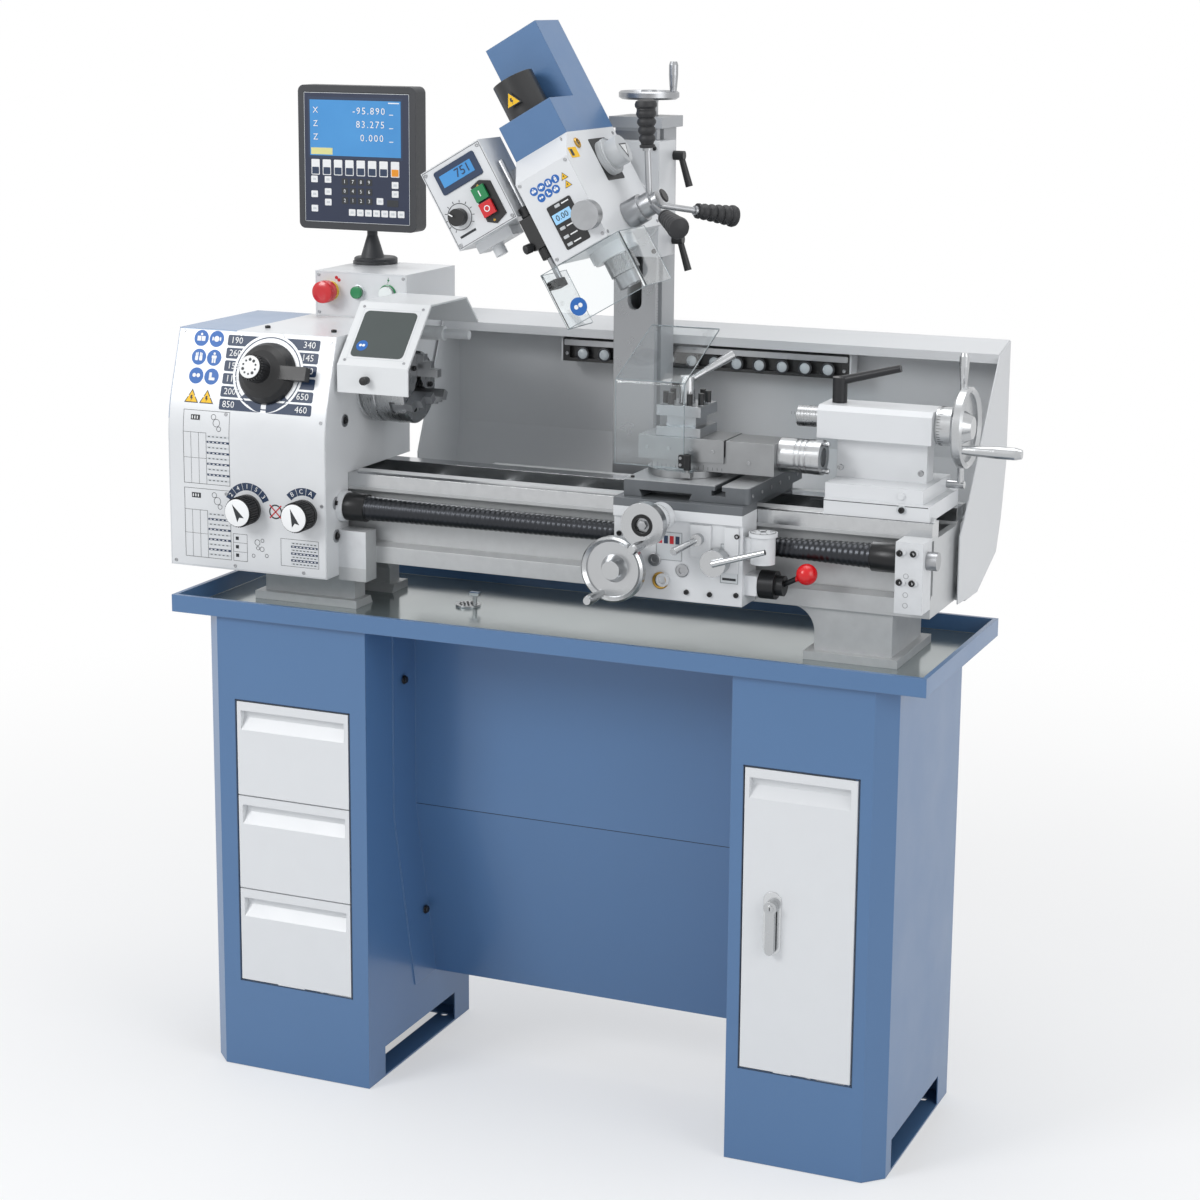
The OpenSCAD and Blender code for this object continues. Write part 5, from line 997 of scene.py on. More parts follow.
@dataclass
class Headstock:
    """The headstock: its curved front plate, printed tables, speed scale and knobs."""
    x0: float = -714.0
    x1: float = -405.0
    bend_z: float = 1110.0
    bend_r: float = 260.0
    lean: float = math.radians(18)
    speed: Flat = (-527.9, 121.2)
    knobs: tuple[float, float] = (-557.9, -447.9)
    knob_s: float = -115.0

    def plate(self, x0: float, s0: float) -> Place:
        """Returns a place on the front plate; s runs up its curve from where it starts to bend.

        Args:
            x0: Where its x starts.
            s0: Where its y starts, up the curve.

        Returns:
            A function from local to machine coordinates.
        """
        def place(x: float, y: float, z: float) -> Vector:
            """Follows the plate's straight foot, its curve and its leaning top.

            Args:
                x: To the right.
                y: Up the curve.
                z: Out of the surface.

            Returns:
                The point.
            """
            s, out = s0 + y, 2.0 + z
            a = min(max(s, 0.0) / self.bend_r, self.lean)
            rest = s - self.bend_r * a
            py = -137.0 + self.bend_r * (1 - math.cos(a)) + rest * math.sin(a)
            pz = self.bend_z + self.bend_r * math.sin(a) + rest * math.cos(a)
            return Vector((x0 + x, py - out * math.cos(a), pz + out * math.sin(a)))
        return place

    def dress(self) -> None:
        """Gives casting, cover, knobs and feet their finishes; the cover's lighter blue is partly painted
        reflection.
        """
        # The gear cover's zone is its blue paint drawn lighter, blue-grey: partly real colour, partly painted
        # reflection of white light.
        dress(painted("headstock_paint", Zone((-715, -136.8, 884), (-600.2, 173, 1297), Coat("8299b8", 0.36)),
                      edge=2.2), "headstock")
        dress(BLACK, "speed_knob", "feed_knob_left", "feed_knob_right")

    def build(self) -> None:
        """Adds the plate's prints, its screws, the knobs' faces and the casting's fittings."""
        self.tables()
        self.speeds()
        self.faces()
        fittings = Piece("headstock_fittings", "stand", "black_steel")
        fittings.screws(self.plate(0, 0), (
            (-590, 186), (-508, 186), (-416, 182), (-600, 46), (-415, 44), (-600, -92), (-413, -98),
            (-585, -217), (-450, -217), (-704, -217), (-704, 186)), 3.2, STEEL, False)
        for y, z, r in ((-70, 1150, 8.0), (-104, 1012, 8.5), (-104, 955, 8.5)):
            fittings.turn([(r + 3, 0), (r + 3, 1.5), (r, 2), (r, 0.6), (0, 0.4)],
                          along((self.x1, y, z), (1, 0, 0)), STEEL, 24)
            fittings.bolt(along((self.x1 + 0.5, y, z), (1, 0, 0)), r * 0.62, BLACK_SATIN)
        fittings.screws(upward(0, -40, 1296.0), ((-570, 0), (-440, 0)), 5.0)
        fittings.done()

    def tables(self) -> None:
        """Prints the signs and the change-gear tables, with plain bars in place of words."""
        skin = Piece("front_plate", "stand", "white_paint")
        strip(skin, self.plate(0, 0), self.x0 + 1.5, -223, self.x1 - 1.5, 190, PLATE_WHITE, 0.25)
        frame_line(skin, self.plate(0, 0), self.x0 + 1.5, -223, self.x1 - 1.5, 190, 0.8, PLATE, 0.35)
        skin.done()
        piece = Piece("front_prints", "stand", "black_plastic")
        for i, glyph in enumerate(Glyph):
            sign(piece, self.plate(-668 + 30.5 * (i % 2), 175 - 33 * (i // 2)), glyph, 14.2)
        for x in (-671, -641):
            caution(piece, self.plate(x, 70), 28)
        for y0, y1 in ((-78, 50), (-208, -86)):
            self.table(piece, -684, y0, -592, y1)
        self.lower_table(piece)
        place = self.plate(-503, self.knob_s)
        piece.ring(11.5, 1.2, place, 32)
        for a in (45, 135):
            piece.flat(box(-16, -1, 16, 1), spun(place, math.radians(a)), RED_PRINT, 0.7)
        piece.done()

    def table(self, piece: Piece, x0: float, y0: float, x1: float, y1: float) -> None:
        """Prints one change-gear table: its frame, gear sketch, columns and ruled figures.

        Args:
            piece: The piece that gets it.
            x0: Its left side.
            y0: Its lower side.
            x1: Its right side.
            y1: Its upper side.
        """
        place = self.plate(0, 0)
        frame_line(piece, place, x0, y0, x1, y1, 0.7, INK_AND_SHADE)
        head = y1 - 38
        frame_line(piece, place, x0, y0, x0 + 46, head, 0.6, INK_AND_SHADE)
        for k in (15, 30.5):
            strip(piece, place, x0 + k, y0, x0 + k + 0.5, head, INK_AND_SHADE)
        strip(piece, place, x0, (y0 + head) / 2, x0 + 46, (y0 + head) / 2 + 0.5, INK_AND_SHADE)
        for row in range(9):
            y = head - 4 - row * (head - y0 - 4) / 9
            strip(piece, place, x0 + 47, y - 3.6, x1 - 1, y, NAVY if row % 2 else PLATE, 0.5)
            for k in range(5):
                strip(piece, place, x0 + 50 + k * 8, y - 2.6, x0 + 54 + k * 8, y - 1.2,
                      PAPER if row % 2 else INK_AND_SHADE, 0.65)
        strip(piece, place, x0 + 15, y1 - 17, x0 + 33, y1 - 8, INK_AND_SHADE)
        for k in range(3):
            strip(piece, place, x0 + 17 + k * 5, y1 - 15, x0 + 19 + k * 5, y1 - 10, PAPER, 0.7)
        for dx, dy, r in ((60, -10, 4.5), (66, -20, 6.5), (71, -30, 4.0)):
            piece.ring(r, 0.4, self.plate(x0 + dx, y1 + dy))

    def lower_table(self, piece: Piece) -> None:
        """Prints the small table at the plate's foot.

        Args:
            piece: The piece that gets it.
        """
        place = self.plate(0, 0)
        frame_line(piece, place, -588, -208, -560, -160, 0.6, INK_AND_SHADE)
        frame_line(piece, place, -494, -208, -420, -160, 0.6, INK_AND_SHADE)
        for k in range(3):
            strip(piece, place, -588, -176 - 16 * k, -560, -175.5 - 16 * k, INK_AND_SHADE)
            strip(piece, place, -583, -171 - 15 * k, -577, -165 - 15 * k, INK_AND_SHADE)
            piece.ring(5.0 - k, 0.4, self.plate(-540 + 9 * k, -172 - 11 * k))
            piece.ring(3.0, 0.4, self.plate(-530 - 9 * k, -168 - 14 * k), 20)
        for row in range(7):
            y = -165 - row * 6
            strip(piece, place, -474, y - 4, -422, y, NAVY if row % 2 else PLATE)
            for k in range(7):
                strip(piece, place, -471 + k * 7, y - 2.8, -467 + k * 7, y - 1.4,
                      PAPER if row % 2 else INK_AND_SHADE, 0.65)

    def speeds(self) -> None:
        """Prints the speed scale: twelve dark bars with plain figures round the knob."""
        piece = Piece("speed_scale", "stand", "black_plastic")
        x, s = self.speed
        for row, (left, right) in enumerate((("190", "340"), ("260", "145"), ("1530", "70"), ("1100", ""),
                                             ("2000", "650"), ("850", "460"))):
            y = 174.5 - row * 22.3
            piece.flat(box(-615, y - 9.4, -533, y + 9.4, 3), self.plate(0, 0), NAVY, 0.5)
            piece.flat(box(-523, y - 9.4, -435, y + 9.4, 3), self.plate(0, 0), NAVY, 0.5)
            piece.digits(left, 11.5, self.plate(-609, y), PAPER, False)
            if right:
                piece.digits(right, 11.5, self.plate(-455 if len(right) > 2 else -449, y), PAPER)
        place = self.plate(x, s)
        piece.turn([(68, 0.55), (0, 0.6)], place, PLATE_WHITE, 64)
        piece.turn([(63.5, 0.7), (61.5, 0.7)], place, NAVY, 64)
        piece.done()

    def faces(self) -> None:
        """Adds the knobs' printed faces, the grooved hub, and the scales above the feed knobs."""
        hub = Piece("speed_knob_face", "speed_knob", "white_plastic")
        place = self.plate(*self.speed)
        face = shifted(place, 0, 0, 64.1)
        hub.turn([(19.4, -1.0), (19.4, 0.6), (17.6, 1.1), (0, 1.1)], face, PAPER, 40)
        for k in range(10):
            x, y = circle(12.5, 10, start=90)[k]
            hub.flat(circle(1.9 if k % 3 else 2.8, 10, x, y), face, INK_AND_SHADE, 1.4)
        hub.ribs(28, box(-1.1, 19.0, 1.1, 22.9), 34, 60, place, 0.4)
        hub.done()
        bodies = ("feed_knob_left", "feed_knob_right")
        for side, (x, words) in enumerate(zip(self.knobs, ("24153", "BCA"))):
            knob = Piece(f"feed_knob_face_{side + 1}", bodies[side], "white_plastic")
            front = at((x, -175.4, 995.0))
            knob.turn([(23.6, -1), (23.6, 0.3), (22.4, 0.9), (0, 0.9)], front, PAPER, 40)
            arrow = [(0, 17), (-7.5, -14), (0, -9), (7.5, -14)]
            knob.flat(arrow, spun(front, math.radians(32 - 12 * side)), INK_AND_SHADE, 1.2)
            knob.ribs(36, box(-0.9, 23.9, 0.9, 26.2), 10, 33, at((x, -139.3, 995.0)), 0.3)
            knob.done()
            scale = Piece(f"feed_scale_{side + 1}", "stand", "black_plastic")
            n = len(words)
            for k, word in enumerate(words):
                a0 = 90 + 27 * (n / 2 - k) + (6 if side else 0)
                wedge = [(r * math.cos(math.radians(a)), r * math.sin(math.radians(a)))
                         for r, span in ((46, (a0 - 25.5, a0 - 17, a0 - 8.5, a0)),
                                         (33, (a0, a0 - 8.5, a0 - 17, a0 - 25.5))) for a in span]
                scale.flat(wedge, self.plate(x, self.knob_s), NAVY, 0.5)
                turn = math.radians(a0 - 12.75)
                spot = self.plate(x + 39.5 * math.cos(turn), self.knob_s + 39.5 * math.sin(turn))
                scale.digits(word, 8.0, spun(spot, turn - math.pi / 2), PAPER)
            scale.done()


@dataclass
class Workholding:
    """The chuck with its jaws, and the guard above it."""
    axis: Flat = (30.0, 1200.0)

    def dress(self) -> None:
        """Gives the chuck and the guard their finishes."""
        dress(TURNED, "chuck")
        dress(STEEL, "chuck_jaw_a", "chuck_jaw_b", "chuck_jaw_c")
        dress(Finish("guard_paint", Coat("dfe1e2", 0.36), clear_coat=0.2, grain=0.015, edge=1.0, zones=(
            Zone((-350, -124, 1215), (-330, -107.2, 1240), BLACK_COAT),)), "chuck_guard")

    def build(self) -> None:
        """Adds the guard's window, its sticker and screws, and the chuck's key sockets."""
        low, high = Vector((-398, -107, 1252)), Vector((-398, -20, 1350))
        up = (high - low).normalized()
        length = (high - low).length
        place = at(low, (1, 0, 0), up)
        piece = Piece("guard_window", "chuck_guard", "black_plastic")
        piece.push(box(17, length * 0.14, 117, length * 0.86, 9), -0.8, 0.7, place, SMOKE, 0.4)
        frame_line(piece, place, 13, length * 0.11, 121, length * 0.89, 0.6, PLATE, 0.15)
        piece.screws(place, product((11, 123), (length * 0.08, length * 0.92)), 2.6, STEEL, False)
        sign(piece, shifted(place, 34, length * 0.31, 0.5), Glyph.GOGGLES, 10.5)
        piece.done()
        turned("guard_knob", "chuck_guard", "black_plastic",
               [(4, 0), (4, 3), (7, 5), (7.4, 12), (6, 15), (0, 16)], at((-341.7, -107, 1228.5)), BLACK, 28)
        plugs = Piece("chuck_details", "chuck", "steel")
        for a in (60, 180, 300):
            out = self.outward(a)
            plugs.turn([(8.5, -0.6), (8.5, 0.4), (6.2, 0.4), (5.8, -4.0), (0, -4.0)],
                       along(Vector((-345.5, *self.axis)) + out * 62.3, out), STEEL, 28)
        for a in (30, 150, 270):
            plugs.screw(along(Vector((-313, *self.axis)) + self.outward(a) * 41, (1, 0, 0)), 4.6)
        plugs.done()

    def outward(self, degrees: float) -> Vector:
        """Returns a direction away from the spindle's axis, by degrees from straight up."""
        turn = math.radians(degrees)
        return Vector((0, -math.sin(turn), math.cos(turn)))


@dataclass
class Controls:
    """The electrical box behind the headstock and the readout on its neck."""
    front: float = 155.0
    readout_y: float = 243.0

    def dress(self) -> None:
        """Gives box, buttons and readout their finishes."""
        dress(painted("box_paint", Zone((-574, 140, 1322), (-534, 154.8, 1362), Coat("ecc11c", 0.35)),
                      Zone((-590, 250, 1377.2), (-490, 350, 1390), Coat("2b2d30", 0.45)), edge=1.6),
              "control_box")
        dress(RED, "estop_button")
        dress(GREEN, "start_button")
        dress(LENS, "power_lamp")
        dress(GREY, "readout")

    def build(self) -> None:
        """Adds the front panel, the buttons' rings and marks, and the readout's screen and keys."""
        piece = Piece("box_front", "stand", "white_paint")
        place = at((0, self.front, 0))
        frame_line(piece, place, -582, 1298, -402, 1375, 0.7, PLATE, 0.3)
        piece.screws(place, product((-577, -407), (1303, 1370)), 3.0, STEEL, False)
        for x, r, look in ((-497, 13.5, PLATE), (-438, 16.5, GREEN)):
            piece.turn([(r, 0), (r, 2.2), (r - 2.2, 3.0), (r - 2.4, 0)], shifted(place, x, 1342), look, 40)
        for x, y in ((-541, 1366), (-536, 1362)):
            piece.flat(circle(3.2, 12, x, y), place, RED_PRINT, 0.4)
        piece.flat([(-436, 1371), (-439, 1365), (-437, 1365), (-439, 1360), (-434, 1367), (-436.5, 1367)],
                   place, GREEN, 0.4)
        piece.done()
        turned("stop_top", "estop", "red_plastic", [(20, 0), (19.4, 4), (15, 6.0), (8, 6.6), (0, 6.8)],
               at((-554, 127.1, 1342)), RED, 44)
        turned("start_top", "start", "green_plastic", [(11, -0.5), (10.6, 0.8), (8, 1.4), (0, 1.2)],
               at((-497, 144.4, 1342)), GREEN, 36)
        turned("readout_foot", "stand", "grey_plastic",
               [(38, 0.2), (40, 1.5), (40, 10), (37, 12.5), (12, 13.2)], upward(-545, 312.9, 1377), GREY, 56)
        self.screen()

    def screen(self) -> None:
        """Adds the readout's panel: screen with plain figures, soft keys and keypads."""
        piece = Piece("readout_panel", "readout", "black_plastic")
        place = at((0, self.readout_y, 0))
        panel = Finish("readout_foil", Coat("1f2a44", 0.35), grain=0.03, edge=0.2, wear=0.0)
        piece.flat(box(-652, 1456, -438, 1689, 4), place, panel, 0.3)
        piece.flat(box(-644, 1571, -451, 1681, 2), place, NAVY, 0.5)
        piece.flat(box(-640, 1576, -455, 1676), place, SCREEN, 0.8)
        for row, (axis, value) in enumerate((("X", "-95.890"), ("Z", "83.275"), ("Z", "0.000"))):
            z = 1657 - 24 * row
            piece.digits(axis, 11, shifted(place, -628, z, 0.7), PAPER)
            piece.digits(value, 12.5, shifted(place, -519 + 3 * row, z, 0.7), PAPER, True, 1.25)
            piece.flat(box(-478, z - 6, -470, z - 4.6), place, PAPER, 1.0)
        straw = Finish("pale_yellow", Coat("e6e29a", 0.4), edge=0.1)
        piece.flat(box(-638, 1578, -594, 1590), place, straw, 1.0)
        piece.flat(box(-480, 1671.5, -458, 1673.5), place, PAPER, 1.0)
        amber = Finish("amber_key", Coat("f29a1e", 0.4), edge=0.2)
        for k in range(8):
            x = -638 + 23.2 * k
            piece.flat(box(x, 1541, x + 17, 1569, 1.5), place, PAPER, 0.6)
            piece.flat(box(x + 1.5, 1542.5, x + 15.5, 1555, 1), place, amber if k == 7 else NAVY, 0.9)
        keys = [(-639, 1527), (-611, 1527), (-639, 1500), (-611, 1505), (-611, 1486), (-639, 1474),
                (-474, 1521), (-474, 1505), (-505, 1491)]
        keys += [(-562 + 16.6 * k, 1469) for k in range(7)]
        for x, z in keys:
            piece.flat(box(x, z, x + 13.5, z + 12, 1.5), place, PAPER, 0.6)
            piece.flat(box(x + 3.5, z + 4, x + 10, z + 8), place, PLATE, 0.8)
        piece.flat(box(-484, 1488, -461, 1500, 1.5), place, INK_AND_SHADE, 0.6)
        for row, words in enumerate(("1789", "0456", "2123")):
            for k, word in enumerate(words):
                x, z = -576 + 16.6 * k, 1525 - 17 * row
                piece.flat(box(x, z - 1, x + 12.5, z + 11, 1.5), place, INK_AND_SHADE, 0.6)
                piece.digits(word, 6.5, shifted(place, x + 6.3, z + 5, 0.4), PAPER)
        frame_line(piece, place, -652, 1456, -438, 1689, 0.8, PLATE, 0.5)
        piece.done()


@dataclass
class ScrewCovers:
    """The spiral spring covers over the lead screw; the real ones stretch as the carriage moves, these stay
    fixed.
    """
    y: float = -82.0
    z: float = 1004.0
    pitch: float = 9.2

    def dress(self) -> None:
        """Gives the lead screw its steel."""
        dress(STEEL, "lead_screw")

    def build(self) -> None:
        """Adds both covers in place of the plain stepped ones."""
        self.cover("left", -392.7, 118.7, 24.0, 38.5, 20.6, 16.4)
        self.cover("right", 586.6, 354.2, 24.0, 44.0, 20.0, 14.6)

    def cover(self, side: str, fixed: float, moving: float, sleeve_r: float, sleeve: float,
              big: float, small: float) -> None:
        """Adds one cover: its sleeve, the spiral strip with overlapping turns, and the end ring.

        Args:
            side: left or right.
            fixed: Where the sleeve stands on the bed.
            moving: Where the small end meets the carriage.
            sleeve_r: Radius of the sleeve.
            sleeve: Length of the sleeve.
            big: Radius of the spiral by the sleeve.
            small: Radius of the spiral by the carriage.
        """
        way = 1.0 if moving > fixed else -1.0
        length = abs(moving - fixed)
        place = along((fixed, self.y, self.z), (way, 0, 0))
        piece = Piece(f"screw_cover_{side}_spiral", "", "black_steel")
        piece.turn([(18, 0), (sleeve_r, 0), (sleeve_r, sleeve - 1.5), (sleeve_r - 1.5, sleeve), (18, sleeve)],
                   place, BLACK_SATIN, 40)
        steps, cuts = 36, 5
        rows = int((length - sleeve) / self.pitch * cuts)
        points = []
        for k in range(rows + 1):
            t = k / rows
            base = big + (small - big) * t
            for i in range(steps):
                turn = math.tau * i / steps
                r = base + 1.3 * (0.5 - (k / cuts + i / steps) % 1.0)
                points.append(place(r * math.cos(turn), r * math.sin(turn),
                                    sleeve - 1 + (length - sleeve) * t))
        faces = [[k * steps + i, k * steps + (i + 1) % steps, (k + 1) * steps + (i + 1) % steps,
                  (k + 1) * steps + i] for k in range(rows) for i in range(steps)]
        piece.add(points, faces, SPRING)
        piece.turn([(14, length - 5.5), (20.7, length - 5.5), (20.7, length - 0.8), (20, length),
                    (14, length)], place, BLACK_SATIN, 40)
        made = piece.done(50, (f"screw_cover_{side}",))
        a, b = Vector((fixed, self.y, self.z)) * MM, Vector((moving, self.y, self.z)) * MM
        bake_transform(made)
        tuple(a)
        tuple(b)


@dataclass
class Carriage:
    """Saddle, apron, slides, tool post and their levers."""
    apron: float = -125.0
    dial: Point = (372.9, -120.4, 1033.7)

    def dress(self) -> None:
        """Gives the carriage's nodes their finishes."""
        dress(painted("saddle_paint", Zone((100, -130, 1058.5), (350, 160, 1080), DARK_IRON), edge=1.6),
              "saddle")
        dress(BRIGHT, "apron_wheel", "cross_crank", "top_slide_crank", "tool_post_lever", "feed_lever",
              "half_nut_lever")
        dress(Finish("slide_iron", DARK_IRON, grain=0.1, scale=50.0, edge=0.8, wear=0.25, zones=(
            Zone((128, -114, 1098.9), (347, 152, 1102), Coat("a9abad", 0.42, 0.35)),)), "cross_slide")
        dress(GROUND, "compound_base", "top_slide")
        dress(Finish("post_steel", STEEL_COAT, grain=0.1, scale=60.0, edge=0.7, zones=(
            Zone((160, -65, 1216.2), (245, 25, 1250), BLACK_COAT),)), "tool_post")
        dress(Finish("switch_bar", Coat("2a2b2d", 0.35, 0.6), edge=0.6, zones=(
            Zone((424, -130, 950), (464, -90, 990), Coat("d8141c", 0.22)),)), "switch_lever")

    def build(self) -> None:
        """Adds the apron's plates, the slides' screws and graduations, and the wheels' details."""
        self.front()
        self.slides()
        self.wheels()

    def front(self) -> None:
        """Adds the apron's printed plates, plugs, sight glass and bolts."""
        place = at((0, self.apron, 0))
        piece = Piece("apron_front", "carriage", "white_paint")
        for x0, z0, x1, z1 in ((252, 990, 280.5, 1037), (192, 974, 238, 1022), (303, 945.5, 334.5, 1011)):
            piece.flat(box(x0, z0, x1, z1, 1.5), place, PLATE, 0.5)
            frame_line(piece, place, x0 + 1, z0 + 1, x1 - 1, z1 - 1, 0.5, INK_AND_SHADE, 0.7)
        for k in range(4):
            piece.flat(box(196 + 10 * k, 1002, 203 + 10 * k, 1015), place, (RED_PRINT, NAVY)[k % 2], 0.75)
            piece.flat(box(255, 994 + 10.5 * k, 266, 1000 + 10.5 * k), place, INK_AND_SHADE, 0.75)
            piece.flat(box(307, 951 + 14 * k, 330, 955 + 14 * k), place, RED_PRINT if k == 3 else INK_AND_SHADE, 0.75)
        for x, z in ((190, 974), (238, 960)):
            piece.turn([(11, 0), (11, 1.6), (9.6, 2.6), (5.2, 2.6), (5, 0.6), (0, 0.6)],
                       shifted(place, x, z), STEEL, 36)
        glass = shifted(place, 201, 940)
        piece.turn([(14, 0), (14, 2), (12.5, 3.2), (9.5, 3.2), (9, 1)], glass, BRASS, 36)
        piece.turn([(9.2, 1), (0, 1.6)], glass, SMOKE, 36)
        piece.screws(place, ((128, 1012), (331, 1024), (331, 928), (246, 925), (286, 925)), 4.2)
        piece.screws(upward(0, -118.0, 1058.2), ((140, 0), (200, 0), (260, 0), (320, 0)))
        dial = upward(*self.dial)
        piece.turn([(21, 0), (21, 0.8), (19.6, 0.8)], dial, STEEL, 48)
        piece.turn([(4.5, 0), (4.5, 1.6), (0, 1.6)], dial, STEEL, 24)
        for k in range(8):
            piece.flat(box(-0.5, 12, 0.5, 18), spun(dial, math.tau * k / 8), INK_AND_SHADE, 0.3)
        piece.done()

    def slides(self) -> None:
        """Adds graduations, gib screws and bolts on the slides and the compound."""
        piece = Piece("cross_slide_details", "cross_slide", "dark_cast")
        for k in range(6):
            piece.screw(along((345.2, -95 + 44 * k, 1085), (1, 0, 0)), 3.2, STEEL, False)
        piece.screws(upward(0, 0, 1100.7), ((140, -100), (140, 138), (335, 138)), 3.4)
        piece.done()
        marks = Piece("swivel_marks", "cross_slide", "steel")
        middle = Vector((202, -20, 1101.0))
        marks.turn([(47.5, 0), (47.5, 0.4), (44.5, 0.4)], upward(*middle), STEEL, 64)
        for k in range(-12, 13):
            turn = math.radians(-90 + k * 5)
            out = Vector((math.cos(turn), math.sin(turn), 0))
            marks.flat(box(-0.25, 0, 0.25, 3.4 if k % 2 else 6.5),
                       at(middle + out * 51 + Vector((0, 0, 0.4)), out.cross(Vector((0, 0, 1))), -out),
                       INK_AND_SHADE, 0.2)
        marks.done()
        base = Piece("compound_details", "compound", "steel")
        for x, z in ((324, 1131), (259, 1131), (194, 1131)):
            base.screw(at((x, -58, z)), 3.2, STEEL, False)
        for k in range(15):
            base.flat(box(166 + 8 * k, 1114, 166.5 + 8 * k, 1119 + 3 * (k % 5 == 0)),
                      at((0, -58, 0)), INK_AND_SHADE, 0.3)
        base.done()
        top = Piece("top_slide_details", "top_slide", "steel")
        for k in range(4):
            top.screw(at((150 + 38 * k, -63, 1146)), 3.0, STEEL, False)
        top.done()

    def wheels(self) -> None:
        """Adds graduated collars, hub screws and slotted handle ends."""
        for name, body, spot, way, r in (
                ("cross_dial_marks", "cross_crank", (203, -150, 1047.3), (0, -1, 0), 23.3),
                ("top_dial_marks", "top_crank", (372, -20, 1142.9), (1, 0, 0), 20.3)):
            piece = Piece(name, body, "bright_steel")
            place = along(spot, way)
            for k in range(50):
                piece.push(box(-0.22, r - 0.3, 0.22, r + 0.12), 0, 7.5 if k % 5 == 0 else 4.5,
                           spun(place, math.tau * k / 50), INK_AND_SHADE)
            piece.done()
        crank = Piece("cross_crank_socket", "cross_crank", "bright_steel")
        socket = at((203, -213.6, 1047.3))
        crank.turn([(17.6, 0), (17.6, 0.7), (12.5, 0.9), (12, -4)], socket, BLACK_SATIN, 36)
        crank.turn([(12, -6), (7.5, -6), (7.5, 0.6), (5.2, 1.2), (0, 1.2)], socket, STEEL, 6)
        crank.done()
        turned("apron_wheel_hub", "apron_wheel", "bright_steel",
               [(8, -3), (8, 1.2), (6.6, 2.2), (3.4, 2.2), (3.2, 0.4), (0, 0.4)],
               at((137, -157.0, 962.3)), BLACK_SATIN, 28)


@dataclass
class ToolGuard:
    """The bent clear pane in front of the tool post, on its hinge."""
    x0: float = 101.0
    x1: float = 221.0
    front: float = -82.0
    low: float = 1117.9
    bend: float = 1254.9
    bend_r: float = 9.0
    back: Flat = (74.0, 1326.9)
    thick: float = 3.0

    def build(self) -> None:
        """Adds the pane, painted reflection along its edges and fold, and the knuckle in place of the plain
        ones.
        """
        piece = Piece("tool_guard_pane", "tool_guard", "clear_plastic")
        t, x0, x1 = self.thick, self.x0, self.x1
        fold = [(self.front + self.bend_r * (1 - math.cos(a)), self.bend - 4 + self.bend_r * math.sin(a))
                for a in (0, 0.3, 0.6, 0.9)]
        outer = [(self.front, self.low)] + fold + [self.back]
        inner = [(self.back[0], self.back[1] - t)]
        inner += [(y + t * 0.8, z - t * 0.6) for y, z in reversed(fold)] + [(self.front + t, self.low)]
        outline = (outer + inner)[::-1]
        place = at((0, 0, 0), (0, 1, 0), (0, 0, 1))
        piece.push(outline, x0, x1, place, ACRYLIC)
        # Painted reflection: grey lines along the pane's edges and across its fold.
        for x in (x0, x1):
            piece.tube([Vector((x, y, z)) for y, z in outer], REFLECTION_LINE_RADIUS, PANE_EDGE_REFLECTION)
        for y, z in (outer[0], outer[-1], (self.front + 1.5, self.bend + 2)):
            piece.tube([Vector((x0, y, z)), Vector((x1, y, z))], REFLECTION_LINE_RADIUS, PANE_EDGE_REFLECTION)
        piece.done(30, ("tool_guard",))
        knuckle = Piece("tool_guard_knuckle", "tool_guard", "black_plastic")
        pin = upward(227.0, self.front + 1.5, 1115.9)
        knuckle.turn([(6, 0), (6, 25), (5, 26), (3.4, 26), (3.4, 0)], pin, BLACK_SATIN, 28)
        knuckle.push(box(213, 1119, 224, 1141, 2), 0.1, 3.4, at((0, self.front, 0)), BLACK_SATIN, 0.4)
        for z in (1124.5, 1135.5):
            knuckle.screw(at((217, self.front - 3.4, z)), 2.4, STEEL)
        knuckle.done()


